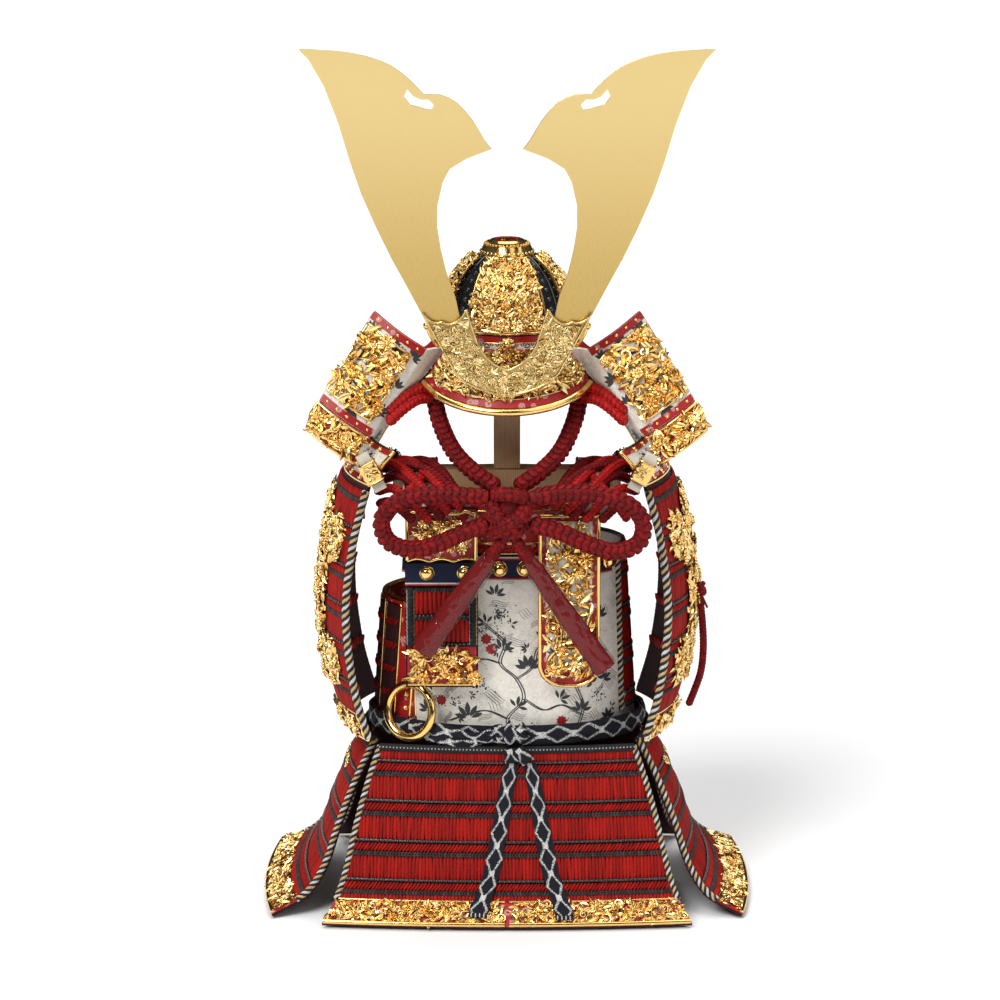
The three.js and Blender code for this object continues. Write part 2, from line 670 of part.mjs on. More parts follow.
const STRAND_ROUTE = [
  [33, -15, 4], [34.8, -17, -5], [34.5, -22, -14], [31, -31, -24], [25, -42, -33], [16, -51, -40],
  [4.9, -57.5, -46.4],
];
const LOOP_LEFT_ROUTE = [
  [-9.4, -64, -49.5], [-25, -65, -48], [-40, -65, -48], [-53, -64, -52], [-60, -63, -61], [-57, -63, -71],
  [-46, -64, -75], [-33, -65, -72], [-21, -65, -66.5], [-9.6, -64, -62.5],
];
const LOOP_RIGHT_ROUTE = [
  [11.2, -64, -49.5], [27, -65, -47], [44, -65, -48], [58, -64, -53], [65, -63, -62], [63, -63, -72],
  [52, -64, -76], [38, -65, -72], [25, -65, -66], [11.6, -64, -62.5],
];

const asPoints = (route) => route.map(([x, y, z]) => vec(x, y, z));

function tassel(from, to) {
  const length = from.distanceTo(to);
  const profile = [[0, 0], [2.6, 0], [3, 10], [4.6, 13], [5.6, length * 0.6], [6.6, length], [0, length]];
  const geometry = turned(profile, 12);
  const aim = new THREE.Quaternion().setFromUnitVectors(vec(0, 0, 1), to.clone().sub(from).normalize());
  return geometry.applyQuaternion(aim).translate(from.x, from.y, from.z);
}

function chinCord() {
  const group = new THREE.Group();
  const radius = CORD / 2;
  const strandRight = STRAND_ROUTE.map(([x, y, z]) => vec(x, y, z));
  const strandLeft = strandRight.map((p) => mirrored(p, -1));
  group.add(mesh("chin_strand_left", tube(strandLeft, radius, 10), FINISH.cord));
  group.add(mesh("chin_strand_right", tube(strandRight, radius, 10), FINISH.cord));
  group.add(mesh("chin_loop_left", tube(asPoints(LOOP_LEFT_ROUTE), radius, 22), FINISH.cord));
  group.add(mesh("chin_loop_right", tube(asPoints(LOOP_RIGHT_ROUTE), radius, 22), FINISH.cord));
  const knot = mesh("chin_knot", ellipsoid(KNOT.x, KNOT.y, KNOT.z), FINISH.cord);
  knot.position.copy(BOW);
  group.add(knot);
  group.add(mesh("chin_tassel_left", tassel(vec(-2, -64, -70.4), vec(-41, -63, -126)), FINISH.cord));
  group.add(mesh("chin_tassel_right", tassel(vec(4, -64, -70.4), vec(47, -63, -135)), FINISH.cord));
  return group;
}

function helmet() {
  const group = new THREE.Group();
  group.add(mesh("helmet_bowl", helmetBowl(), FINISH.lacquer));
  group.add(mesh("helmet_lining", helmetLining(), FINISH.maroon));
  group.add(mesh("crown_ring", crownRing(), FINISH.gold));
  group.add(mesh("bowl_plate_front", bowlPlate(0, 35), FINISH.gold));
  group.add(mesh("bowl_plate_left", bowlPlate(-78, 20), FINISH.gold));
  group.add(mesh("bowl_plate_right", bowlPlate(78, 20), FINISH.gold));
  group.add(mesh("brow_band", browBand(), FINISH.maroon));
  group.add(mesh("visor", visor(), FINISH.gold));
  group.add(mesh("visor_rim", visorRim(), FINISH.gold));
  const holder = mesh("crest_holder", crestHolder(), FINISH.gold);
  holder.position.set(0, -HOLDER.plane, 0);
  group.add(holder);
  ["upper", "middle", "lower"].forEach((word, tier) => {
    group.add(mesh("neck_guard_" + word, guardTier(tier), FINISH.lacing));
  });
  for (const [word, side] of [["left", -1], ["right", 1]]) {
    group.add(mesh("fukikaeshi_" + word, turnback(side), FINISH.leather));
    group.add(mesh("fukikaeshi_band_" + word, turnbackBand(side), FINISH.gold));
    const blade = horn(side);
    blade.name = "kuwagata_" + word;
    blade.material = new THREE.MeshStandardMaterial(FINISH.brass);
    group.add(blade);
  }
  group.add(chinCord());
  group.position.set(0, POST_Y, HELMET_Z);
  return group;
}

// ---------- the whole suit ----------

const armour = new THREE.Group();
armour.add(stand(), cuirass(), skirt(), shoulderGuards(), helmet(), sashKnot(), waistRing());
for (const [word, side] of [["left", -1], ["right", 1]]) {
  const clasp = sodeClasp(side);
  clasp.name = "sode_clasp_" + word;
  clasp.material = new THREE.MeshStandardMaterial(FINISH.gold);
  armour.add(clasp);
}

export default armour;
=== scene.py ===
"""A miniature suit of laced armour on its wooden stand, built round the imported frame.

Lengths in this script are millimetres until a mesh is made. "left" is -X, the viewer's left.
"""

import math

import bpy
import numpy as np
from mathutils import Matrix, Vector


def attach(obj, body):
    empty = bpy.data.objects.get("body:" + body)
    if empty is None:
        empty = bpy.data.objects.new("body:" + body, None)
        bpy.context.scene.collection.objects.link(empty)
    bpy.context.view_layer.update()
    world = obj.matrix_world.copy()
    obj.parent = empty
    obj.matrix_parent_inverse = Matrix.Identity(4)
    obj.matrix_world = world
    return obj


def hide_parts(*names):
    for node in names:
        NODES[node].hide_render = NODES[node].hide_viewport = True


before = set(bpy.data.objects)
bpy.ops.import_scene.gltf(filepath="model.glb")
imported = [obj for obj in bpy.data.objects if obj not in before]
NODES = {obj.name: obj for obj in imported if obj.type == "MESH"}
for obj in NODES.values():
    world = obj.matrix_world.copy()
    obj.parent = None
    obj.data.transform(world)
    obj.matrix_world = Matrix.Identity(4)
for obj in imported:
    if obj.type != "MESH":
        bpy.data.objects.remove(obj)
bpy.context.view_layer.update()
MM = 0.001
SIDES = (("left", -1), ("right", 1))

# ---------- sizes that the frame's own pieces follow ----------

PLATE = 1.6
METAL = 1.2
GAP = 0.3
WAIST_Z, WAIST_WIDTH, WAIST_DEPTH = 84, 63, 36
CHEST_Z, CHEST_WIDTH, CHEST_DEPTH = 178, 57, 33
SHOULDER_Z = 212
HELMET = np.array([0, 8, 262])
BOWL_RADIUS, BOWL_RISE, BOWL_SHOULDER, BOWL_RIM = 31, 37, 23, 10
CORD = 8.5
TAIL_WIDTH, TAIL_THICKNESS = 8, 2.2
HEM = 14
SHELL_FROM, SHELL_SEAM, SHELL_TO = -52, 68, 232
PLAQUE_Y = -44.6
SASH_OFFSET = PLATE / 2 + GAP + PLATE + GAP + 1.8

# ---------- camera ----------


def camera():
    data = bpy.data.cameras.new("camera")
    data.lens = 149.8
    data.sensor_width = 36
    data.clip_end = 20
    made = bpy.data.objects.new("camera", data)
    made.location = (-0.0034, -1.980, 0.700)
    made.rotation_euler = (math.radians(75.75), 0, 0)
    bpy.context.scene.collection.objects.link(made)
    bpy.context.scene.camera = made


camera()

# ---------- shader helpers ----------


class Shade:
    """One procedural material, made node by node."""

    def __init__(self, name, roughness=0.5, metallic=0.0, **sockets):
        self.material = bpy.data.materials.new(name)
        self.material.use_nodes = True
        self.tree = self.material.node_tree
        self.surface = self.tree.nodes["Principled BSDF"]
        self.set("Roughness", roughness)
        self.set("Metallic", metallic)
        for socket, value in sockets.items():
            self.set(socket.replace("_", " "), value)

    def set(self, socket, value):
        if isinstance(value, bpy.types.NodeSocket):
            self.tree.links.new(value, self.surface.inputs[socket])
        else:
            self.surface.inputs[socket].default_value = value

    def node(self, kind, values=(), **settings):
        made = self.tree.nodes.new("ShaderNode" + kind)
        for key, value in settings.items():
            setattr(made, key, value)
        for index, value in dict(values).items():
            if isinstance(value, bpy.types.NodeSocket):
                self.tree.links.new(value, made.inputs[index])
            else:
                made.inputs[index].default_value = value
        return made

    def place(self, stretch=(1, 1, 1)):
        """Object coordinates in millimetres, stretched."""
        place = self.node("TexCoord").outputs["Object"]
        scale = tuple(1000 * s for s in stretch)
        return self.node("VectorMath", {0: place, 1: scale}, operation="MULTIPLY").outputs[0]

    def grain(self):
        """The mesh's own across, along and tone."""
        return self.node("Attribute", attribute_name="grain").outputs["Vector"]

    def parts(self, vector):
        return self.node("SeparateXYZ", {0: vector}).outputs

    def noise(self, vector, scale, detail=3.0, roughness=0.6):
        values = {"Vector": vector, "Scale": scale, "Detail": detail, "Roughness": roughness}
        return self.node("TexNoise", values).outputs[0]

    def cells(self, vector, scale, feature="F1", output="Distance"):
        return self.node("TexVoronoi", {"Vector": vector, "Scale": scale}, feature=feature).outputs[output]

    def wave(self, vector, scale, distortion=0.0, direction="X", detail=2.0):
        values = {"Vector": vector, "Scale": scale, "Distortion": distortion, "Detail": detail}
        return self.node("TexWave", values, bands_direction=direction).outputs["Fac"]

    def math(self, operation, a, b=0.0, c=0.0):
        return self.node("Math", {0: a, 1: b, 2: c}, operation=operation).outputs[0]

    def span(self, value, low, high, to_low=0.0, to_high=1.0):
        values = {0: value, 1: low, 2: high, 3: to_low, 4: to_high}
        return self.node("MapRange", values, interpolation_type="SMOOTHSTEP").outputs[0]

    def blend(self, share, a, b):
        opaque = lambda c: c if isinstance(c, bpy.types.NodeSocket) else (*c, 1.0)
        values = {0: share, 6: opaque(a), 7: opaque(b)}
        return self.node("Mix", values, data_type="RGBA").outputs[2]

    def color(self, value):
        self.set("Base Color", value if isinstance(value, bpy.types.NodeSocket) else (*value, 1.0))

    def bump(self, height, depth_mm, strength=1.0, under=None):
        values = {"Height": height, "Distance": depth_mm * MM, "Strength": strength}
        made = self.node("Bump", values)
        if under is not None:
            self.tree.links.new(under, made.inputs["Normal"])
        self.set("Normal", made.outputs[0])
        return made.outputs[0]


def wood():
    s = Shade("light_wood", Coat_Weight=0.25, Coat_Roughness=0.3)
    rings = s.wave(s.place((1, 1, 0.06)), 0.35, 6.0, "X", 3.0)
    pores = s.noise(s.place((2.2, 2.2, 0.08)), 1.6, 4)
    tone = s.blend(s.span(rings, 0.1, 0.9), (0.66, 0.42, 0.22), (0.52, 0.30, 0.14))
    s.color(s.blend(s.span(pores, 0.52, 0.75, 0, 0.6), tone, (0.34, 0.18, 0.08)))
    s.set("Roughness", s.span(pores, 0.3, 0.8, 0.38, 0.6))
    s.bump(pores, 0.12, 0.5)
    return s.material


def gold(name, light, deep, rough, fine=1.0, dent=0.04):
    s = Shade(name, metallic=1.0)
    wear = s.noise(s.place(), 0.35, 4)
    tone = s.parts(s.grain())[2]
    share = s.math("ADD", s.math("MULTIPLY", wear, 0.6), s.math("MULTIPLY", tone, 0.5))
    s.color(s.blend(s.span(share, 0.3, 0.85), deep, light))
    s.set("Roughness", s.span(s.noise(s.place(), 0.9, 5), 0.3, 0.75, rough - 0.07, rough + 0.1))
    s.bump(s.noise(s.place(), fine, 5), dent, 0.5)
    return s.material


def brushed_brass_painted_highlight():
    s = Shade("brushed_brass_painted_highlight", metallic=1.0, Anisotropic=0.6)
    lines = s.noise(s.place((1, 1, 0.045)), 7.0, 6, 0.8)
    # Painted highlight: the colour is blended towards a light gold with the height of the point, so the horn is painted
    # lighter towards its top and darker lower down, in place of reflected light and shade.
    height = s.parts(s.place())[2]
    base = s.blend(s.span(lines, 0.3, 0.7), (0.46, 0.31, 0.09), (0.66, 0.46, 0.16))
    s.color(s.blend(s.span(height, 285.0, 420.0, 0, 0.85), base, (0.90, 0.69, 0.31)))
    s.set("Roughness", s.span(lines, 0.2, 0.8, 0.27, 0.40))
    s.bump(lines, 0.035, 0.5)
    return s.material


def silk(name, dark, light, fibres, sheen=0.45, rough=0.62, twill=0.0):
    """Lustrous silk cord: fine fibres run along it, every strand has its own tone."""
    s = Shade(name, Sheen_Weight=sheen, Sheen_Roughness=0.35, Specular_IOR_Level=0.22)
    s.set("Sheen Tint", (*light, 1.0))
    across, along, tone = s.parts(s.grain())
    lines = s.node("CombineXYZ", {0: s.math("MULTIPLY", across, fibres), 1: s.math("MULTIPLY", along, 0.55), 2: tone})
    threads = s.noise(lines.outputs[0], 1.0, 3, 0.7)
    slant = s.math("ADD", s.math("MULTIPLY", across, fibres * 0.7), s.math("MULTIPLY", along, twill))
    rope = s.math("SINE", slant)
    height = s.math("ADD", threads, s.math("MULTIPLY", rope, 0.18 if twill else 0.0))
    share = s.math("ADD", s.span(height, 0.3, 0.85, 0, 0.7), s.math("MULTIPLY", tone, 0.3))
    s.color(s.blend(share, dark, light))
    s.set("Roughness", s.span(threads, 0.3, 0.7, rough - 0.08, rough + 0.14))
    s.bump(height, 0.22, 0.75)
    return s.material


def lacquer(name, color, rough=0.16):
    s = Shade(name, Coat_Weight=0.8, Coat_Roughness=0.08)
    cloud = s.noise(s.place(), 0.25, 4)
    s.color(s.blend(s.span(cloud, 0.35, 0.7), color, tuple(min(1, 2.0 * c + 0.006) for c in color)))
    s.set("Roughness", s.span(s.noise(s.place(), 1.2, 5), 0.3, 0.7, rough, rough + 0.14))
    s.bump(s.noise(s.place(), 0.6, 4), 0.06, 0.4)
    return s.material


def printed_leather():
    """Off-white leather: fine grey hatching in waves, patches of dots, a soft grain."""
    s = Shade("printed_leather", Sheen_Weight=0.1)
    place = s.place()
    patches = s.noise(place, 0.085, 2)
    waves = s.wave(place, 1.15, 5.5, "DIAGONAL", 3.0)
    lines = s.math("MULTIPLY", s.span(waves, 0.80, 0.93), s.span(patches, 0.47, 0.56))
    broken = s.math("MULTIPLY", lines, s.span(s.noise(place, 0.9, 3), 0.42, 0.56))
    dots = s.math("MULTIPLY", s.span(s.cells(place, 0.62), 0.24, 0.17), s.span(patches, 0.42, 0.35))
    hide = s.noise(place, 0.5, 5)
    base = s.blend(s.span(hide, 0.3, 0.7), (0.72, 0.67, 0.58), (0.82, 0.785, 0.71))
    inked = s.blend(s.math("MULTIPLY", broken, 0.72), base, (0.13, 0.13, 0.14))
    s.color(s.blend(s.math("MULTIPLY", dots, 0.8), inked, (0.07, 0.06, 0.07)))
    pores = s.cells(place, 3.2)
    s.set("Roughness", s.span(pores, 0.1, 0.6, 0.62, 0.5))
    s.bump(pores, 0.07, 0.35)
    return s.material


def printed_red():
    """Red leather with a small pale print of petals and dots."""
    s = Shade("printed_red_leather", Specular_IOR_Level=0.3)
    place = s.place()
    near = s.node("TexVoronoi", {"Vector": place, "Scale": 0.19, "Randomness": 0.75})
    radius = near.outputs["Distance"]
    ring = s.math("MULTIPLY", s.span(radius, 0.10, 0.14), s.span(radius, 0.36, 0.30))
    petals = s.span(s.wave(place, 1.0, 7.0, "DIAGONAL", 1.0), 0.66, 0.82)
    print_share = s.math("MULTIPLY", ring, petals)
    base = s.blend(s.noise(place, 0.6, 4), (0.27, 0.007, 0.010), (0.40, 0.014, 0.016))
    s.color(s.blend(print_share, base, (0.80, 0.60, 0.56)))
    pores = s.cells(place, 3.0)
    s.set("Roughness", s.span(pores, 0.1, 0.6, 0.5, 0.38))
    s.bump(pores, 0.06, 0.4)
    return s.material


def navy_cloth():
    s = Shade("navy_cloth", Sheen_Weight=0.05, roughness=0.8, Specular_IOR_Level=0.2)
    place = s.place()
    warp = s.wave(place, 2.2, 0.3, "X")
    weft = s.wave(place, 2.2, 0.3, "Z")
    weave = s.math("MULTIPLY", warp, weft)
    s.color(s.blend(weave, (0.006, 0.010, 0.028), (0.018, 0.026, 0.068)))
    s.bump(weave, 0.08, 0.6)
    return s.material


def zigzag_braid():
    """Black flat braid with broken white zigzag lines; grain gives millimetres across and along it."""
    s = Shade("zigzag_braid", Sheen_Weight=0.03, roughness=0.72, Specular_IOR_Level=0.2)
    across, along, _ = s.parts(s.grain())
    flat = s.node("CombineXYZ", {0: across, 1: along}).outputs[0]
    drift = s.math("MULTIPLY", s.math("SUBTRACT", s.noise(flat, 0.16, 2), 0.5), 3.0)
    steps = s.math("SNAP", s.math("ADD", along, drift), 0.8)
    fold = s.math("MULTIPLY", s.math("PINGPONG", steps, 6.75), 0.53)
    wide = s.math("SNAP", s.math("ADD", s.math("ABSOLUTE", across), 0.2), 0.4)
    edge = s.math("ABSOLUTE", s.math("SUBTRACT", wide, fold))
    loose = s.node("CombineXYZ", {0: s.math("MULTIPLY", across, 2.2), 1: along}).outputs[0]
    torn = s.span(s.noise(loose, 1.3, 2), 0.44, 0.50)
    line = s.math("MULTIPLY", s.span(edge, 0.62, 0.42), torn)
    star = s.math("MULTIPLY", s.span(fold, 0.9, 0.6), s.span(wide, 1.5, 1.2))
    middle = s.math("MULTIPLY", star, s.span(s.noise(flat, 1.6, 2), 0.40, 0.48))
    ink = s.math("MAXIMUM", line, middle)
    knit_a = s.math("SINE", s.math("MULTIPLY", s.math("ADD", across, along), 7.0))
    knit_b = s.math("SINE", s.math("MULTIPLY", s.math("SUBTRACT", across, along), 7.0))
    knit = s.math("MULTIPLY", knit_a, knit_b)
    black = s.blend(s.span(knit, -1, 1), (0.003, 0.003, 0.006), (0.014, 0.014, 0.024))
    white = s.blend(s.span(knit, -1, 1), (0.50, 0.49, 0.47), (0.80, 0.79, 0.76))
    s.color(s.blend(ink, black, white))
    s.bump(knit, 0.14, 0.7)
    return s.material


def clear_film():
    s = Shade("clear_film", roughness=0.03, Transmission_Weight=1.0, IOR=1.03, Coat_Weight=0.3, Coat_Roughness=0.02)
    s.set("Coat IOR", 1.5)
    place = s.place()
    creases = s.node("TexVoronoi", {"Vector": place, "Scale": 0.12}, feature="DISTANCE_TO_EDGE").outputs["Distance"]
    s.color(s.blend(s.span(creases, 0.3, 0.7), (0.97, 0.95, 0.95), (1.0, 1.0, 1.0)))
    crease = s.node("Bump", {"Height": creases, "Distance": 2.4 * MM, "Strength": 0.7})
    s.set("Normal", crease.outputs[0])
    s.set("Coat Normal", crease.outputs[0])
    return s.material


def ink(name, dark, light):
    s = Shade(name, roughness=0.55)
    s.color(s.blend(s.noise(s.place(), 1.2, 4), dark, light))
    s.bump(s.noise(s.place(), 3.0, 3), 0.03, 0.3)
    return s.material


def cloth(name, dark, light, scale=2.4):
    s = Shade(name, Sheen_Weight=0.04, roughness=0.78, Specular_IOR_Level=0.2)
    place = s.place()
    weave = s.math("MULTIPLY", s.wave(place, scale, 0.4, "X"), s.wave(place, scale, 0.4, "Z"))
    s.color(s.blend(s.math("ADD", s.math("MULTIPLY", weave, 0.6), s.math("MULTIPLY", s.noise(place, 0.4), 0.4)), dark, light))
    s.bump(weave, 0.07, 0.5)
    return s.material


WOOD = wood()
GOLD = gold("relief_gold", (1.0, 0.76, 0.36), (0.84, 0.52, 0.17), 0.2)
PALE_GOLD = gold("engraved_gold", (0.96, 0.75, 0.37), (0.50, 0.32, 0.10), 0.22, 1.9, 0.12)
SMOOTH_GOLD = gold("polished_gold", (0.95, 0.66, 0.24), (0.86, 0.55, 0.17), 0.17, 0.3, 0.05)
BRASS = brushed_brass_painted_highlight()
RED_SILK = silk("red_silk", (0.11, 0.001, 0.0006), (0.60, 0.011, 0.003), 9.0, 0.02)
CRIMSON = silk("crimson_silk", (0.035, 0.0004, 0.001), (0.37, 0.003, 0.005), 7.0, 0.02)
BRIGHT_RED = silk("bright_red_silk", (0.20, 0.002, 0.002), (0.62, 0.010, 0.008), 5.0, 0.04, 0.5)
DARK_SILK = silk("dark_maroon_silk", (0.012, 0.0008, 0.001), (0.09, 0.003, 0.004), 6.0, 0.05)
GREY_SILK = silk("charcoal_silk", (0.010, 0.009, 0.010), (0.10, 0.085, 0.08), 6.0, 0.3)
WHITE_SILK = silk("white_silk", (0.36, 0.34, 0.31), (0.82, 0.80, 0.76), 6.0, 0.3)
BLACK_SILK = silk("black_silk", (0.004, 0.004, 0.005), (0.040, 0.038, 0.044), 6.0, 0.3)
TAN_SILK = silk("gold_thread", (0.28, 0.17, 0.06), (0.70, 0.52, 0.26), 6.0, 0.4)
BLACK = lacquer("black_lacquer", (0.006, 0.006, 0.007))
DARK = cloth("dark_maroon_cloth", (0.020, 0.003, 0.004), (0.060, 0.006, 0.009))
LEATHER = printed_leather()
RED_LEATHER = printed_red()
NAVY = navy_cloth()
BRAID = zigzag_braid()
FILM = clear_film()
INK = ink("black_ink", (0.008, 0.008, 0.010), (0.045, 0.043, 0.045))
GREY_INK = ink("grey_ink", (0.10, 0.10, 0.10), (0.30, 0.29, 0.28))
IVORY = cloth("ivory_leather", (0.56, 0.50, 0.40), (0.78, 0.72, 0.62), 1.4)
LINEN = cloth("red_lining", (0.12, 0.003, 0.004), (0.28, 0.008, 0.010))
EDGE_COLOURS = (BLACK_SILK, WHITE_SILK, BLACK_SILK, TAN_SILK)

# ---------- geometry helpers ----------


def unit(a):
    return a / np.maximum(np.linalg.norm(a, axis=-1, keepdims=True), 1e-9)


def mix(a, b, t):
    return a + (b - a) * t


def carried_normals(tangent, start):
    """Normals that turn as little as possible along a line of tangents."""
    normals = [unit(start - tangent[0] * (start @ tangent[0]))]
    for t in tangent[1:]:
        normals.append(unit(normals[-1] - t * (normals[-1] @ t)))
    return np.array(normals)


def travelled(path):
    """The length along the points, from zero."""
    return np.concatenate([[0], np.cumsum(np.linalg.norm(np.diff(path, axis=0), axis=1))])


def shifted(points, origin):
    return [np.array(p, float) + origin for p in points]


def circle(count, closed=False):
    """Angles round a circle; a closed one ends where it starts."""
    return np.linspace(0, 2 * np.pi, count) if closed else 2 * np.pi * np.arange(count) / count


class Spline:
    """Centripetal Catmull-Rom line through the points, as the frame's own curves are."""

    def __init__(self, points, samples=240):
        knots = np.array(points, float)
        self.t = np.linspace(0, 1, samples + 1)
        self.p = np.array([self._at(knots, t) for t in self.t])
        self.s = travelled(self.p)
        self.length = self.s[-1]

    @staticmethod
    def _at(knots, t):
        last = len(knots) - 1
        place = last * t
        i = min(int(place), last - 1)
        w = place - i
        p1, p2 = knots[i], knots[i + 1]
        p0 = knots[i - 1] if i > 0 else 2 * knots[0] - knots[1]
        p3 = knots[i + 2] if i + 2 <= last else 2 * knots[last] - knots[last - 1]
        d0, d1, d2 = (max(np.sum((b - a) ** 2) ** 0.25, 1e-4) for a, b in ((p0, p1), (p1, p2), (p2, p3)))
        m1 = ((p1 - p0) / d0 - (p2 - p0) / (d0 + d1) + (p2 - p1) / d1) * d1
        m2 = ((p2 - p1) / d1 - (p3 - p1) / (d1 + d2) + (p3 - p2) / d2) * d1
        a = 2 * p1 - 2 * p2 + m1 + m2
        b = -3 * p1 + 3 * p2 - 2 * m1 - m2
        return ((a * w + b) * w + m1) * w + p1

    def at(self, t):
        return np.stack([np.interp(t, self.t, self.p[:, k]) for k in range(self.p.shape[1])], -1)

    def along(self, s):
        return self.at(np.interp(s, self.s, self.t))

    def points(self, count):
        return self.along(np.linspace(0, self.length, count))


class Surface:
    """A sheet given by point(u, v) in arrays; x and s are millimetres from its middle line and from its top."""

    def __init__(self, point, outward):
        self.point = point
        self.v = np.linspace(0, 1, 121)
        grid_u, grid_v = np.meshgrid(np.linspace(0, 1, 41), self.v)
        grid = point(grid_u, grid_v)
        self.width = np.linalg.norm(np.diff(grid, axis=1), axis=2).sum(1)
        self.s = travelled(grid[:, 20])
        self.length = self.s[-1]
        self.side = 1.0
        normal = self.frame(np.zeros(1), np.full(1, self.length / 2))[3]
        self.side = 1.0 if float(normal[0] @ np.array(outward, float)) > 0 else -1.0

    def width_at(self, s):
        return np.interp(s, self.s, self.width)

    def frame(self, x, s, lift=0.0):
        x, s = np.broadcast_arrays(np.asarray(x, float), np.asarray(s, float))
        v = np.interp(s, self.s, self.v)
        u = 0.5 + x / self.width_at(s)
        step = 2e-3
        low, high = np.clip(v - step, 0, 1), np.clip(v + step, 0, 1)
        across = unit(self.point(u + step, v) - self.point(u - step, v))
        down = self.point(u, high) - self.point(u, low)
        normal = unit(np.cross(across, down)) * self.side
        down = np.cross(normal, across) * self.side
        p = self.point(u, v) + normal * np.asarray(lift, float)[..., None]
        return p, across, unit(down), normal


def combine(*solids):
    """Several templates as one: (vertices, face arrays, grain)."""
    verts, faces, grain, count = [], [], [], 0
    for v, f, g in solids:
        verts.append(v)
        grain.append(g)
        faces.extend(a + count for a in f)
        count += len(v)
    return np.concatenate(verts), faces, np.concatenate(grain)


def moved(solid, origin=(0, 0, 0), x=(1, 0, 0), y=(0, 1, 0), z=(0, 0, 1)):
    v, f, g = solid
    return np.array(origin, float) + v @ np.array([x, y, z], float), f, g


def spindle(stations, ring):
    """A closed solid along X. Stations are (x, half width, height, lift) between two tips; ring is (y, z) pairs."""
    ring = np.array(ring, float)
    k = len(ring)
    stations = np.array(stations, float)
    verts = [[stations[0][0], 0, stations[0][3]]]
    for x, w, h, lift in stations[1:-1]:
        verts.extend([x, w * y, h * z + lift] for y, z in ring)
    verts.append([stations[-1][0], 0, stations[-1][3]])
    verts = np.array(verts, float)
    rows = len(stations) - 2
    i = np.arange(k)
    j = (i + 1) % k
    quads = [np.stack([1 + r * k + i, 1 + r * k + j, 1 + (r + 1) * k + j, 1 + (r + 1) * k + i], 1)
             for r in range(rows - 1)]
    first = np.stack([np.zeros(k, int), 1 + j, 1 + i], 1)
    end = 1 + (rows - 1) * k
    last = np.stack([np.full(k, len(verts) - 1), end + i, end + j], 1)
    faces = [first, last] + ([np.concatenate(quads)] if quads else [])
    grain = np.zeros((len(verts), 3))
    grain[1:-1, 0] = np.tile(np.abs(2 * i / k - 1), rows)
    grain[:, 1] = verts[:, 0]
    return verts, faces, grain


def ring_of(sides, squash=1.0):
    a = circle(sides)
    return np.stack([np.cos(a), squash * np.sin(a)], 1)


def round_spindle(sides=8, rows=5, power=0.5):
    x = -np.cos(np.linspace(0, np.pi, rows + 2))
    return spindle([(a, max(0.0, 1 - a * a) ** power, max(0.0, 1 - a * a) ** power, 0) for a in x], ring_of(sides))


def leaf(point=1.0, groove=0.35):
    """A pointed leaf with a grooved middle, one long, half its length wide."""
    ring = [(-1, 0), (-0.55, 1.0), (0, groove), (0.55, 1.0), (1, 0), (0, -0.5)]
    x = np.linspace(-1, 1, 7)
    width = np.sin(np.pi * (x + 1) / 2) ** point
    return spindle([(a, 0.42 * w, 0.20 * w + 0.02, 0.06 * (1 - a * a)) for a, w in zip(x, width)], ring)


def petal():
    """A petal with a round outer end, from the origin out to x = 1."""
    ring = [(-1, 0), (-0.6, 0.9), (0, 0.45), (0.6, 0.9), (1, 0), (0, -0.4)]
    x = np.linspace(0.12, 1, 6)
    width = [0, 0.12, 0.2, 0.26, 0.2, 0]
    return spindle([(a, w, 0.5 * w + 0.03, 0.12 + 0.1 * a) for a, w in zip(x, width)], ring)


def turn(angle):
    c, s = math.cos(angle), math.sin(angle)
    return (c, s, 0), (-s, c, 0), (0, 0, 1)


def flower(petals):
    pieces = [moved(petal(), (0, 0, 0), *turn(2 * math.pi * i / petals)) for i in range(petals)]
    pieces.append(moved(round_spindle(8, 4), (0, 0, 0.2), (0.24, 0, 0), (0, 0.24, 0), (0, 0, 0.22)))
    return combine(*pieces)


def sweep(path, radius, sides=8, squash=1.0, flat_normal=None, tone=0.5, caps=True):
    """A closed tube along the points of path; with flat_normal its section is squashed along that direction."""
    path = np.asarray(path, float)
    n = len(path)
    radius = np.broadcast_to(np.asarray(radius, float), (n,))
    tangent = unit(np.gradient(path, axis=0))
    if flat_normal is None:
        normal = carried_normals(tangent, np.array([0, 0, 1.0] if abs(tangent[0][2]) < 0.9 else [1.0, 0, 0]))
    else:
        given = np.broadcast_to(np.asarray(flat_normal, float), path.shape)
        normal = unit(given - tangent * np.sum(given * tangent, 1, keepdims=True))
    side = np.cross(tangent, normal)
    ring = ring_of(sides, squash)
    offset = side[:, None] * ring[None, :, :1] + normal[:, None] * ring[None, :, 1:]
    verts = (path[:, None] + offset * radius[:, None, None]).reshape(-1, 3)
    i = np.arange(sides)
    j = (i + 1) % sides
    faces = [np.concatenate([np.stack([r * sides + j, r * sides + i, (r + 1) * sides + i, (r + 1) * sides + j], 1)
                             for r in range(n - 1)])]
    length = travelled(path)
    grain = np.zeros((n * sides, 3))
    grain[:, 0] = np.tile(np.abs(2 * i / sides - 1), n)
    grain[:, 1] = np.repeat(length, sides)
    grain[:, 2] = tone
    if caps:
        tips = np.array([path[0] - tangent[0] * radius[0] * 0.5, path[-1] + tangent[-1] * radius[-1] * 0.5])
        first, last = len(verts), len(verts) + 1
        verts = np.concatenate([verts, tips])
        faces.append(np.stack([np.full(sides, first), i, j], 1))
        base = (n - 1) * sides
        faces.append(np.stack([np.full(sides, last), base + j, base + i], 1))
        grain = np.concatenate([grain, [[0.5, 0, tone], [0.5, length[-1], tone]]])
    return verts, faces, grain


def curl(turns=1.25, thickness=0.14):
    a = np.linspace(0, 2 * np.pi * turns, 15)
    r = mix(0.95, 0.16, a / a[-1])
    path = np.stack([r * np.cos(a), r * np.sin(a), 0.12 + 0.1 * np.sin(a)], 1)
    return sweep(path, mix(thickness, thickness * 0.55, a / a[-1]), 6)


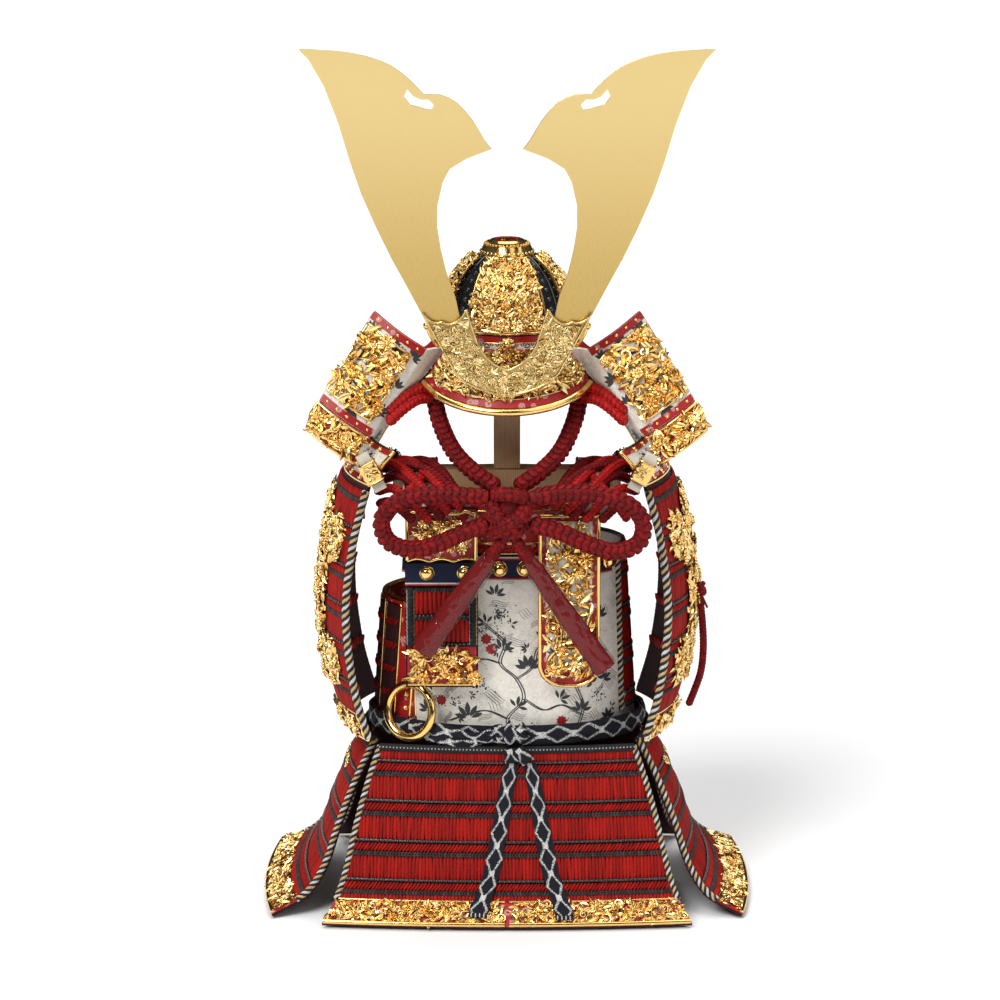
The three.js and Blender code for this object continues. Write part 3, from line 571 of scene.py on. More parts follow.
def slab(point, columns, rows, thickness, closed=False):
    """A closed plate of even thickness on the middle surface point(u, v)."""
    step = 1e-3
    across = columns if closed else columns + 1
    v, u = np.meshgrid(np.linspace(0, 1, rows + 1), np.arange(across) / columns, indexing="ij")
    low_u, high_u = (u - step, u + step) if closed else (np.clip(u - step, 0, 1), np.clip(u + step, 0, 1))
    along_u = point(high_u, v) - point(low_u, v)
    along_v = point(u, np.clip(v + step, 0, 1)) - point(u, np.clip(v - step, 0, 1))
    normal = unit(np.cross(along_u, along_v)) * thickness / 2
    middle = point(u, v)
    verts = np.concatenate([(middle + normal).reshape(-1, 3), (middle - normal).reshape(-1, 3)])
    layer = across * (rows + 1)
    i, j = (a.ravel() for a in np.meshgrid(np.arange(columns), np.arange(rows)))
    outer = lambda i, j: j * across + i % across
    inner = lambda i, j: layer + outer(i, j)
    quads = [np.stack([outer(i, j), outer(i + 1, j), outer(i + 1, j + 1), outer(i, j + 1)], 1),
             np.stack([inner(i, j), inner(i, j + 1), inner(i + 1, j + 1), inner(i + 1, j)], 1)]
    if not closed:
        e = np.arange(rows)
        quads.append(np.stack([outer(0, e), outer(0, e + 1), inner(0, e + 1), inner(0, e)], 1))
        quads.append(np.stack([inner(columns, e), inner(columns, e + 1), outer(columns, e + 1), outer(columns, e)], 1))
    c = np.arange(columns)
    quads.append(np.stack([inner(c, 0), inner(c + 1, 0), outer(c + 1, 0), outer(c, 0)], 1))
    quads.append(np.stack([outer(c, rows), outer(c + 1, rows), inner(c + 1, rows), inner(c, rows)], 1))
    down = travelled(middle[:, across // 2])
    wide = np.linalg.norm(np.diff(middle[rows // 2], axis=0), axis=1).sum()
    grain = np.stack([(u - 0.5) * wide, np.broadcast_to(down[:, None], u.shape), np.full(u.shape, 0.5)], -1)
    grain = np.concatenate([grain.reshape(-1, 3)] * 2)
    return verts, [np.concatenate(quads)], grain


def turned(profile, segments=64):
    """A solid of revolution about Z from a closed profile of (radius, height); points on the axis are shared."""
    profile = np.array(profile, float)
    n = len(profile)
    angle = circle(segments)
    verts = np.stack([profile[:, None, 0] * np.sin(angle), -profile[:, None, 0] * np.cos(angle),
                      np.broadcast_to(profile[:, None, 1], (n, segments))], -1).reshape(-1, 3)
    quads = []
    c = np.arange(segments)
    d = (c + 1) % segments
    for r in range(n):
        s = (r + 1) % n
        if profile[r][0] < 1e-6 and profile[s][0] < 1e-6:
            continue
        quads.append(np.stack([r * segments + c, r * segments + d, s * segments + d, s * segments + c], 1))
    grain = np.zeros((n * segments, 3))
    grain[:, 0] = np.tile(angle * 3, n)
    grain[:, 2] = 0.5
    return verts, [np.concatenate(quads)], grain


def at(solid, origin):
    return solid[0] + np.array(origin, float), solid[1], solid[2]


def ball(centre, size, sides=16, rows=9):
    """A rounded lump with three half sizes, about the centre."""
    return at(moved(round_spindle(sides, rows), (0, 0, 0), *np.diag(np.array(size, float))), centre)


class Pile:
    """Solids in millimetres that become one piece."""

    def __init__(self):
        self.verts, self.faces, self.grain, self.indices, self.materials = [], [], [], [], []
        self.count = 0

    def add(self, solid, material):
        verts, faces, grain = solid
        if material not in self.materials:
            self.materials.append(material)
        index = self.materials.index(material)
        self.verts.append(verts)
        self.grain.append(grain)
        for array in faces:
            self.faces.append(array + self.count)
            self.indices.append(np.full(len(array), index))
        self.count += len(verts)

    def scatter(self, template, frames, sizes, material, tones=None, spin=None):
        """A copy of the template on every frame (point, x, y, z), scaled by sizes and spun about its z."""
        verts, faces, grain = template
        p, x, y, z = frames
        n = len(p)
        if not n:
            return
        sizes = np.broadcast_to(np.asarray(sizes, float), (n, 3))
        if spin is not None:
            c, s = np.cos(spin)[:, None], np.sin(spin)[:, None]
            x, y = x * c + y * s, y * c - x * s
        hand = np.sum(np.cross(x, y) * z, 1).mean()
        made = (p[:, None] + verts[None, :, :1] * (x * sizes[:, :1])[:, None]
                + verts[None, :, 1:2] * (y * sizes[:, 1:2])[:, None]
                + verts[None, :, 2:] * (z * sizes[:, 2:])[:, None])
        shift = (np.arange(n) * len(verts))[:, None, None]
        turned_faces = [(f[:, ::-1] if hand < 0 else f)[None] + shift for f in faces]
        tone = np.full(n, 0.5) if tones is None else np.asarray(tones, float)
        wide = np.tile(grain, (n, 1, 1))
        wide[:, :, 1] = wide[:, :, 1] * sizes[:, :1] + 7.0 * tone[:, None]
        wide[:, :, 2] = tone[:, None]
        faces = [f.reshape(-1, f.shape[2]) for f in turned_faces]
        self.add((made.reshape(-1, 3), faces, wide.reshape(-1, 3)), material)

    def piece(self, name, body, replaces=(), sharp=50.0):
        verts = np.concatenate(self.verts) * MM
        loops = np.concatenate([f.ravel() for f in self.faces])
        totals = np.concatenate([np.full(len(f), f.shape[1]) for f in self.faces])
        starts = np.concatenate([[0], np.cumsum(totals)[:-1]])
        mesh = bpy.data.meshes.new(name)
        mesh.vertices.add(len(verts))
        mesh.vertices.foreach_set("co", verts.astype(np.float32).ravel())
        mesh.loops.add(len(loops))
        mesh.loops.foreach_set("vertex_index", loops.astype(np.int32))
        mesh.polygons.add(len(starts))
        mesh.polygons.foreach_set("loop_start", starts.astype(np.int32))
        mesh.polygons.foreach_set("material_index", np.concatenate(self.indices).astype(np.int32))
        mesh.polygons.foreach_set("use_smooth", np.ones(len(starts), bool))
        mesh.update(calc_edges=True)
        grain = mesh.attributes.new("grain", "FLOAT_VECTOR", "POINT")
        grain.data.foreach_set("vector", np.concatenate(self.grain).astype(np.float32).ravel())
        mesh.set_sharp_from_angle(angle=math.radians(sharp))
        for material in self.materials:
            mesh.materials.append(material)
        made = bpy.data.objects.new(name, mesh)
        bpy.context.scene.collection.objects.link(made)
        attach(made, body)
        if replaces:
            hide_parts(*replaces)
        return made


BEAD = round_spindle(8, 4)
STRAND = spindle([(-1, 0, 0, 0), (-0.96, 0.7, 0.55, 0), (-0.6, 0.97, 0.95, 0), (0, 1.02, 1.0, 0), (0.6, 0.97, 0.95, 0),
                  (0.96, 0.7, 0.55, 0), (1, 0, 0, 0)], ring_of(8))
STITCH = round_spindle(7, 4, 0.42)
LEAF = leaf()
CURL = curl()
DAISY = flower(9)
ROSE = flower(6)


def grid_points(x0, x1, s0, s1, size, rng, jitter=0.35):
    columns = max(1, int(round((x1 - x0) / size)))
    rows = max(1, int(round((s1 - s0) / (size * 0.9))))
    i, j = np.meshgrid(np.arange(columns), np.arange(rows))
    x = x0 + (i + 0.5 + 0.5 * (j % 2 - 0.5) + rng.uniform(-jitter, jitter, i.shape)) * (x1 - x0) / columns
    s = s0 + (j + 0.5 + rng.uniform(-jitter, jitter, i.shape)) * (s1 - s0) / rows
    return np.clip(x.ravel(), x0 + 0.4, x1 - 0.4), np.clip(s.ravel(), s0 + 0.4, s1 - 0.4)


def relief(pile, surface, x0, x1, s0, s1, size, lift, seed, inside=None, material=None, height=1.0, gap=1.0):
    """Pierced foliage in gold over a surface: leaves, curls and flowers at several depths."""
    material = material or GOLD
    size = size * 1.3
    rng = np.random.default_rng(seed)

    def spots(step):
        x, s = grid_points(x0, x1, s0, s1, step, rng)
        if inside is not None:
            keep = inside(x, s)
            x, s = x[keep], s[keep]
        return x, s

    def cover(template, step, scale, z_scale, lifts, flat=0.25):
        x, s = spots(step)
        n = len(x)
        if not n:
            return
        p, a, d, normal = surface.frame(x, s, lift + rng.uniform(*lifts, n) * height)
        tip = unit(normal + flat * (a * rng.normal(0, 1, (n, 1)) + d * rng.normal(0, 1, (n, 1))))
        a = unit(a - tip * np.sum(a * tip, 1, keepdims=True))
        d = np.cross(tip, a)
        grow = rng.uniform(0.75, 1.2, n)[:, None] * np.array(scale)
        grow[:, 2] *= z_scale
        pile.scatter(template, (p, a, d, tip), grow, material, rng.uniform(0, 1, n), rng.uniform(0, 6.28, n))

    cover(LEAF, size * 0.60 * gap, (size * 0.62, size * 0.56, size * 0.5), 1.0 * height, (0.0, 0.4), 0.2)
    cover(CURL, size * 1.15 * gap, (size * 0.46,) * 3, 1.0 * height, (0.3, 0.7), 0.2)
    cover(LEAF, size * 0.78 * gap, (size * 0.6, size * 0.54, size * 0.5), 1.2 * height, (0.4, 0.9), 0.25)
    cover(DAISY, size * 1.6 * gap, (size * 0.56,) * 3, 1.2 * height, (0.6, 1.1), 0.15)
    cover(BEAD, size * 1.3 * gap, (size * 0.13,) * 3, 1.0, (0.8, 1.4), 0.0)


def across(surface, s, pitch, x0=None, x1=None):
    """Even places across the panel at s, from edge to edge or from x0 to x1, and the step between them."""
    half = surface.width_at(s) / 2
    x0, x1 = (-half if x0 is None else x0), (half if x1 is None else x1)
    n = max(2, int(round((x1 - x0) / pitch)))
    step = (x1 - x0) / n
    return x0 + (np.arange(n) + 0.5) * step, step


def strands(pile, surface, s0, s1, pitch, lift, seed, material=None, x0=None, x1=None, lean=0.03, thick=0.9):
    """A row of upright lacing cords side by side, from s0 down to s1."""
    rng = np.random.default_rng(seed)
    middle = (s0 + s1) / 2
    x, step = across(surface, middle, pitch, x0, x1)
    n = len(x)
    p, a, d, normal = surface.frame(x, middle, lift + rng.uniform(-0.12, 0.12, n))
    tilt = rng.normal(0, lean, n)[:, None]
    d, a = unit(d + a * tilt), unit(a - d * tilt)
    size = np.stack([np.full(n, (s1 - s0) / 2), np.full(n, step * 0.56),
                     np.full(n, thick) * rng.uniform(0.85, 1.1, n)], 1)
    pile.scatter(STRAND, (p, d, a, normal), size, material or RED_SILK, rng.uniform(0, 1, n))


def twill(pile, surface, s, width, pitch, lift, seed, material=None, slant=0.9, x0=None, x1=None, thick=0.8):
    """A row of slanted stitches that crosses the panel at s."""
    rng = np.random.default_rng(seed)
    x, _ = across(surface, s, pitch, x0, x1)
    n = len(x)
    p, a, d, normal = surface.frame(x, s, lift)
    angle = slant + rng.normal(0, 0.04, n)[:, None]
    along = np.cos(angle) * a - np.sin(angle) * d
    side = np.sin(angle) * a + np.cos(angle) * d
    size = np.stack([np.full(n, width * 0.5 / abs(math.sin(slant))), np.full(n, pitch * 0.42), np.full(n, thick)], 1)
    pile.scatter(STITCH, (p, along, side, normal), size, material or RED_SILK, rng.uniform(0, 1, n))


def beads(pile, surface, s, radius, pitch, lift, material, x0=None, x1=None):
    x, _ = across(surface, s, pitch, x0, x1)
    pile.scatter(BEAD, surface.frame(x, s, lift), (radius, radius, radius), material)


def plait(pile, surface, s, width, pitch, lift, seed, material=None, x0=None, x1=None):
    """A thin plaited cord across the panel: two rows of stitches that lean together."""
    for share, slant in ((-0.24, 0.6), (0.24, -0.6)):
        twill(pile, surface, s + share * width, width * 0.5, pitch, lift, seed, material or GREY_SILK, slant, x0, x1,
              width * 0.42)


def line_on(surface, x, s, lift):
    """Points on the surface along arrays x and s."""
    return surface.frame(x, s, lift)[0]


def braid(pile, path, diameter, pitch, materials, columns=8, core=None, seed=5, plump=1.0):
    """A round herringbone braid along the points; materials go round its columns of stitches."""
    line = Spline(path, 10 * len(path)) if len(path) < 40 else None
    length = line.length if line else travelled(path)[-1]
    n = max(4, int(length / pitch))
    fine = line.points(4 * n + 1) if line else np.asarray(path)
    s_fine = travelled(fine)
    pile.add(sweep(fine, diameter * 0.40, 10), core or materials[0])
    tangent = unit(np.gradient(fine, axis=0))
    normals = carried_normals(tangent, np.array([0, -1.0, 0] if abs(tangent[0][1]) < 0.9 else [1.0, 0, 0]))
    rng = np.random.default_rng(seed)
    pick = lambda array, s: np.stack([np.interp(s, s_fine, array[:, k]) for k in range(3)], 1)
    radius = diameter * 0.40
    wide = 2 * np.pi * radius / columns
    for column in range(columns):
        angle = 2 * np.pi * (column + 0.5) / columns
        s = (np.arange(n) + 0.25) * length / n
        s = s[(s > 0.3 * pitch) & (s < length - 0.3 * pitch)]
        c, t = pick(fine, s), unit(pick(tangent, s))
        a = unit(pick(normals, s))
        b = np.cross(t, a)
        out = a * math.cos(angle) + b * math.sin(angle)
        around = np.cross(t, out)
        lean = 0.62 * (1 if column % 2 else -1)
        x = t * math.cos(lean) + around * math.sin(lean)
        y = np.cross(out, x)
        m = len(s)
        size = np.stack([np.full(m, pitch * 0.66), np.full(m, wide * 0.50), np.full(m, diameter * 0.125 * plump)], 1)
        pile.scatter(STITCH, (c + out * radius, x, y, out), size, materials[column % len(materials)],
                     rng.uniform(0, 1, m))


def rope(pile, path, radius, materials, lay, sides=7, steps_per_turn=10):
    """Strands laid round each other along the points."""
    line = Spline(path, 10 * len(path))
    turns = line.length / lay
    count = max(8, int(turns * steps_per_turn))
    fine = line.points(count)
    tangent = unit(np.gradient(fine, axis=0))
    a = carried_normals(tangent, np.array([0, -1.0, 0] if abs(tangent[0][1]) < 0.9 else [1.0, 0, 0]))
    b = np.cross(tangent, a)
    angle = 2 * np.pi * turns * np.linspace(0, 1, count)
    for index, material in enumerate(materials):
        phase = angle + 2 * np.pi * index / len(materials)
        strand = fine + radius * 0.5 * (a * np.cos(phase)[:, None] + b * np.sin(phase)[:, None])
        pile.add(sweep(strand, radius * 0.56, sides, tone=0.3 + 0.2 * index), material)


def edge_cord(pile, surface, side, s, inset, lift, radius, lay):
    """The striped cord down one edge of a laced panel."""
    x = side * (surface.width_at(s) / 2 - inset)
    rope(pile, line_on(surface, x, s, lift), radius, EDGE_COLOURS, lay)


def box(x0, x1, s0, s1):
    """The corners of a rectangle, back to the first."""
    return [(x0, s0), (x1, s0), (x1, s1), (x0, s1), (x0, s0)]


def layer(pile, surface, x_range, s_range, lift, thickness, material, grid):
    """A thin sheet over part of a surface."""
    (x0, x1), (s0, s1) = x_range, s_range
    point = lambda u, v: line_on(surface, mix(x0, x1, u), mix(s0, s1, v), lift)
    pile.add(slab(point, *grid, thickness), material)


def panel_outline(surface, inset, s0, s1, steps=12):
    """(x, s) corners round a panel between two depths."""
    s = np.linspace(s0, s1, steps)
    half = surface.width_at(s) / 2 - inset
    corners = [(-half[0], s0)] + [(h, v) for h, v in zip(half, s)] + [(-h, v) for h, v in zip(half[::-1], s[::-1])]
    return corners


def rim_line(pile, surface, corners, radius, lift, material, squash=1.0, spacing=1.5):
    """One tube through (x, s) corners, straight between them."""
    points = []
    for (xa, sa), (xb, sb) in zip(corners, corners[1:]):
        n = max(1, int(math.hypot(xb - xa, sb - sa) / spacing))
        for k in range(n):
            points.append((mix(xa, xb, k / n), mix(sa, sb, k / n)))
    points.append(corners[-1])
    points = np.array(points)
    p, _, _, normal = surface.frame(points[:, 0], points[:, 1], lift)
    pile.add(sweep(p, radius, 8, squash, normal), material)


def sprig(pile, surface, x, s, size, angle, lift, leaves=5, material=None):
    """A fan of printed leaves with a bud, thin as ink on the leather."""
    n = leaves
    spread = np.linspace(-1.25, 1.25, n) + angle
    reach = size * (1.0 - 0.16 * np.abs(np.linspace(-1, 1, n)))
    px = x + np.sin(spread) * reach * 0.62
    ps = s - np.cos(spread) * reach * 0.62
    p, a, d, normal = surface.frame(px, ps, lift)
    along = a * np.sin(spread)[:, None] - d * np.cos(spread)[:, None]
    side = np.cross(normal, along)
    size_array = np.stack([reach * 0.5, reach * 0.42, np.full(n, 0.25)], 1)
    pile.scatter(LEAF, (p, along, side, normal), size_array, material or INK)


def printed_line(pile, surface, route, radius, lift, material=None):
    """A drawn line: a flat thread through (x, s) points."""
    line = Spline([(x, s, 0) for x, s in route], 60)
    xs = line.points(max(8, int(line.length / 1.2)))
    p, _, _, normal = surface.frame(xs[:, 0], xs[:, 1], lift)
    taper = radius * (0.55 + 0.45 * np.sin(np.linspace(0.3, 2.8, len(xs))))
    pile.add(sweep(p, taper, 6, 0.22, normal), material or INK)


def printed_dots(pile, surface, x, s, spread, count, radius, lift, seed, material=None):
    rng = np.random.default_rng(seed)
    px, ps = x + rng.normal(0, spread, count), s + rng.normal(0, spread, count)
    frames = surface.frame(px, ps, lift)
    size = np.stack([rng.uniform(0.6, 1.2, count) * radius] * 2 + [np.full(count, 0.1)], 1)
    pile.scatter(BEAD, frames, size, material or INK)


def facing_front(point):
    """One frame at the point that faces the front of the suit."""
    return np.array([point]), np.array([[1.0, 0, 0]]), np.array([[0, 0, 1.0]]), np.array([[0, -1.0, 0]])


def spot(surface, x, s, lift):
    """One frame on the surface."""
    return surface.frame(np.array([float(x)]), np.array([float(s)]), np.array([float(lift)]))


def stud(pile, frames, radius, material=None):
    """Domed studs with a collar."""
    dome = round_spindle(16, 6)
    collar = combine(dome, moved(dome, (0, 0, -0.1), (1.18, 0, 0), (0, 1.18, 0), (0, 0, 0.32)))
    pile.scatter(collar, frames, (radius, radius, radius * 0.8), material or SMOOTH_GOLD)


# ---------- wooden stand ----------


def soft_edges(node, body, material, width, flat=False):
    """The CAD piece with its edges rounded over."""
    made = bpy.data.objects.new(node + "_finished", NODES[node].data.copy())
    bpy.context.scene.collection.objects.link(made)
    made.data.materials.clear()
    made.data.materials.append(material)
    bpy.context.view_layer.objects.active = made
    merge = made.modifiers.new("merge", "WELD")
    merge.merge_threshold = 0.00005
    bevel = made.modifiers.new("edges", "BEVEL")
    bevel.width = width * MM
    bevel.segments = 3
    bevel.limit_method = "ANGLE"
    bevel.angle_limit = math.radians(40)
    for modifier in list(made.modifiers):
        bpy.ops.object.modifier_apply(modifier=modifier.name)
    made.data.shade_smooth()
    made.data.set_sharp_from_angle(angle=math.radians(35))
    if flat:
        largest = max(made.data.polygons, key=lambda face: face.area).normal.copy()
        for face in made.data.polygons:
            face.use_smooth = abs(face.normal.dot(largest)) < 0.9995
    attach(made, body)
    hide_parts(node)
    return made


def stand():
    for node in ("stand_base", "stand_post", "neck_post", "shoulder_bar"):
        soft_edges(node, "stand", WOOD, 0.9)
    NODES["head_block"].data.materials.clear()
    NODES["head_block"].data.materials.append(WOOD)


# ---------- skirt panels ----------

HIP = WAIST_Z - 3 * GAP
FRONT_PROFILE = Spline([(WAIST_DEPTH + 5, HIP, 62), (WAIST_DEPTH + 10, 66, 68), (WAIST_DEPTH + 16, 45, 74),
                        (WAIST_DEPTH + 21, 24, 79), (WAIST_DEPTH + 26, 12, 83), (WAIST_DEPTH + 38, 1.6, 90)])
SIDE_PROFILE = Spline([(WAIST_WIDTH + 5, HIP, 27), (WAIST_WIDTH + 14, 66, 34), (WAIST_WIDTH + 23, 44, 40),
                       (WAIST_WIDTH + 31, 22, 46), (WAIST_WIDTH + 40, 10, 51), (WAIST_WIDTH + 57, 1.6, 56)])
OUTWARD = {"front": (0, -1, 0.2), "back": (0, 1, 0.2), "left": (-1, 0, 0.2), "right": (1, 0, 0.2)}


def panel_point(profile, facing):
    def point(u, v):
        out, z, half = np.moveaxis(profile.at(v), -1, 0)
        across = 2 * u - 1
        reach = out - 5 * across * across
        along = half * across
        if facing == "front":
            return np.stack([along, -reach, z], -1)
        if facing == "back":
            return np.stack([-along, reach, z], -1)
        if facing == "left":
            return np.stack([-reach, -along, z], -1)
        return np.stack([reach, along, z], -1)

    return point


def laced_rows(pile, surface, rows, seed, pitch=1.7, lift=PLATE / 2):
    """Rows of lacing: (kind, from, to) in millimetres down the panel."""
    for index, (kind, s0, s1) in enumerate(rows):
        middle = (s0 + s1) / 2
        if kind == "long":
            strands(pile, surface, s0 - 0.5, s1 + 0.5, pitch, lift + 0.35, seed + index)
        elif kind == "slanted":
            twill(pile, surface, middle, (s1 - s0) * 0.98, pitch * 1.02, lift + 0.75, seed + index, slant=0.95)
        elif kind == "cord":
            plait(pile, surface, middle, (s1 - s0) * 1.05, 1.5, lift + 1.0, seed + index)
        elif kind == "beads":
            rim_line(pile, surface, edge_to_edge(surface, middle), 0.75, lift + 0.3, BLACK)
            beads(pile, surface, middle, 0.82, 2.35, lift + 1.05, BLACK)


def edge_to_edge(surface, s, inset=0.4):
    half = surface.width_at(s) / 2 - inset
    return [(-half, s), (half, s)]


def hem(pile, surface, s0, s1, seed, split=True, lift=PLATE / 2):
    """The pierced gold hem: red leather behind foliage, framed by a polished rim."""
    half = float(surface.width_at(s1)) / 2
    halves = [(-half + 0.8, -1.2), (1.2, half - 0.8)] if split else [(-half + 0.8, half - 0.8)]
    for index, (x0, x1) in enumerate(halves):
        share = lambda x, s: x * surface.width_at(s) / surface.width_at(s1)
        inside = lambda x, s: np.abs(x) < surface.width_at(s) / 2 - 1.2
        relief(pile, surface, x0 + 0.8, x1 - 0.8, s0 + 0.6, s1 - 1.6, 4.2, lift + 0.5, seed + index, inside, gap=1.12)
        top0, top1 = float(share(x0, s0)), float(share(x1, s0))
        rim_line(pile, surface, [(x0, s1 - 0.9), (x1, s1 - 0.9)], 1.15, lift + 0.8, SMOOTH_GOLD)
        rim_line(pile, surface, [(top0, s0), (top1, s0)], 0.55, lift + 0.8, SMOOTH_GOLD)


def skirt_panel(facing, seed):
    """One hanging skirt panel with its rows of lacing, hem and rims."""
    profile = FRONT_PROFILE if facing in ("front", "back") else SIDE_PROFILE
    surface = Surface(panel_point(profile, facing), OUTWARD[facing])
    pile = Pile()
    pile.add(slab(surface.point, 48, 40, PLATE - 0.1), DARK)
    length = surface.length
    hem_top = length - HEM
    rows = [("cord", hem_top - 5.2, hem_top - 3.3), ("long", hem_top - 3.4, hem_top)]
    s = hem_top - 5.2
    while s > 4:
        rows += [("slanted", s - 4.5, s), ("beads", s - 6.4, s - 4.5), ("long", s - 17.3, s - 6.4)]
        s -= 17.3
        if s > 2:
            rows.append(("cord", s - 2.0, s))
            s -= 2.0
    rows = [(kind, max(a, 0.6), b) for kind, a, b in rows if b > 1.6]
    laced_rows(pile, surface, rows, seed)
    backing = Surface(panel_point(profile, facing), OUTWARD[facing])
    half = float(surface.width_at(length)) / 2
    hem_v = np.interp(hem_top, surface.s, surface.v)

    def behind(u, v):
        p = backing.point(u, mix(hem_v, 1.0, v))
        down = unit(backing.point(u, np.full_like(v, 1.0)) - backing.point(u, np.full_like(v, hem_v)))
        right, left = (backing.point(np.clip(u + step, 0, 1), v * 0 + 1) for step in (1e-3, -1e-3))
        across = unit(right - left)
        return p + unit(np.cross(across, down)) * backing.side * (PLATE / 2 + 0.15)

    pile.add(slab(behind, 40, 8, 0.5), RED_LEATHER)
    hem(pile, surface, hem_top, length, seed + 50, split=facing in ("front", "back"))
    for side in (-1, 1):
        edge_cord(pile, surface, side, np.linspace(1, hem_top, 30), 0.5, PLATE / 2 + 0.6, 1.5, 6.5)
    sash_seat = edge_to_edge(surface, 1.4, 0.6)
    rim_line(pile, surface, sash_seat, 1.9, PLATE / 2 + 1.0, BLACK_SILK)
    beads(pile, surface, 1.4, 0.36, 1.7, PLATE / 2 + 2.7, WHITE_SILK)
    if facing in ("left", "right"):
        for x in (-9, 9):
            for dx in (-2.4, 2.4):
                frames = spot(surface, x + dx, 20 + 0.4 * dx, PLATE / 2 + 1.6)
                pile.scatter(closed_ring(1.9, 0.6), frames, (1, 1, 1), SMOOTH_GOLD)
    pile.piece("skirt_" + facing, "skirt_" + facing, ["tasset_" + facing])
    return surface


def closed_ring(radius, tube_radius, segments=28, sides=8):
    a = circle(segments)
    b = circle(sides)
    r = radius + tube_radius * np.cos(b)[None, :]
    verts = np.stack([r * np.cos(a)[:, None], r * np.sin(a)[:, None],
                      np.broadcast_to(tube_radius * np.sin(b)[None, :], (segments, sides))], -1).reshape(-1, 3)
    i, j = (m.ravel() for m in np.meshgrid(np.arange(segments), np.arange(sides)))
    i2, j2 = (i + 1) % segments, (j + 1) % sides
    faces = [np.stack([i * sides + j, i2 * sides + j, i2 * sides + j2, i * sides + j2], 1)]
    grain = np.zeros((len(verts), 3))
    grain[:, 2] = 0.5
    return verts, faces, grain


# ---------- hanging sash ends ----------


def sash_tail(word, start_x, end_x, end_share):
    lift = PLATE / 2 + GAP + TAIL_THICKNESS / 2 + 0.2

    def middle(v, across):
        share = mix(0.09, end_share, v)
        out, z, half = np.moveaxis(FRONT_PROFILE.at(share), -1, 0)
        x = mix(start_x, end_x, v) + across
        reach = out - 5 * (x / half) ** 2
        ahead = FRONT_PROFILE.at(np.clip(share + 0.01, 0, 1)) - FRONT_PROFILE.at(np.clip(share - 0.01, 0, 1))
        nx, nz = -ahead[..., 1], ahead[..., 0]
        size = np.hypot(nx, nz)
        proud = lift + 1.7 * np.clip((v - 0.66) / 0.16, 0, 1)
        return np.stack([x, -reach - proud * nx / size, z + proud * nz / size], -1)

    def point(u, v):
        width = TAIL_WIDTH * (0.80 + 0.2 * np.sin(np.clip(v * 3.0, 0, np.pi / 2)) + 0.1 * (v > 0.9))
        across = width * (u - 0.5)
        p = middle(v, across)
        p[..., 1] -= 0.55 * np.sin(6.5 * v + 1.0) * (u - 0.5) * 2
        return p

    pile = Pile()
    verts, faces, grain = slab(point, 8, 44, TAIL_THICKNESS - 0.7)
    pile.add((verts, faces, grain), BRAID)
    rng = np.random.default_rng(31)
    for k in range(13):
        u = (k + 0.5) / 13
        root = point(np.full(4, u), np.array([0.985, 0.995, 1.0, 1.0]))
        root[:, 2] -= np.array([0, 0.3, 1.0, 1.9]) * 0.8
        root[:, 1] -= np.array([0, 0.2, 0.5, 1.0 + rng.uniform(0, 0.6)])
        pile.add(sweep(root, 0.34, 6), WHITE_SILK if k % 3 == 1 else BLACK_SILK)
    made = pile.piece("hanging_sash_" + word, "skirt_front", ["sash_tail_" + word])
    path = [middle(np.array(v), 0.0) * MM for v in np.linspace(0, 1, 24)]


# ---------- chin cord ----------

STRAND_ROUTE = [[33, -15, 4], [34.8, -17, -5], [34.5, -22, -14], [31, -31, -24], [25, -42, -33], [16, -51, -40],
                [4.9, -57.5, -46.4]]
LOOP_ROUTES = {
    "left": [[-9.4, -64, -49.5], [-25, -65, -48], [-40, -65, -48], [-53, -64, -52], [-60, -63, -61],
             [-57, -63, -71], [-46, -64, -75], [-33, -65, -72], [-21, -65, -66.5], [-9.6, -64, -62.5]],
    "right": [[11.2, -64, -49.5], [27, -65, -47], [44, -65, -48], [58, -64, -53], [65, -63, -62], [63, -63, -72],
              [52, -64, -76], [38, -65, -72], [25, -65, -66], [11.6, -64, -62.5]],
}
KNOT_CENTRE = np.array([1, -64, -57]) + HELMET
TASSELS = {"left": ((-2, -64, -70.4), (-41, -63, -126)), "right": ((4, -64, -70.4), (47, -63, -135))}


def knot():
    """The tied knot: a core wrapped by short stretches of the same braid."""
    pile = Pile()
    pile.add(ball(KNOT_CENTRE, (7.2, 4.4, 9.6), 20, 12), CRIMSON)
    wraps = [
        ([(-7, 1, 8), (-5, -3.2, 10), (1, -4.4, 10.2), (6.2, -3.0, 8.6), (8, 1.5, 6.5)], 7.2),
        ([(7.2, 1.6, 7), (7.4, -2.6, 2), (3.0, -4.8, -3), (-3.5, -4.4, -6.5), (-7.2, 0.5, -9)], 8.2),
        ([(-7.4, 1.6, 6), (-7.2, -2.6, 1.5), (-4.6, -4.2, -1.5), (0.5, -3.4, -6), (5.5, 0.0, -9.4)], 8.2),
        ([(-6.4, 1.8, -4), (-4, -2.4, -8.6), (1, -3.6, -9.6), (5.6, -2.0, -8.0), (7.2, 1.8, -3.5)], 5.4),
    ]
    for index, (route, diameter) in enumerate(wraps):
        braid(pile, shifted(route, KNOT_CENTRE), diameter, 2.9, (CRIMSON,), 7, seed=90 + index)
    return pile.piece("tied_knot", "helmet", ["chin_knot"])


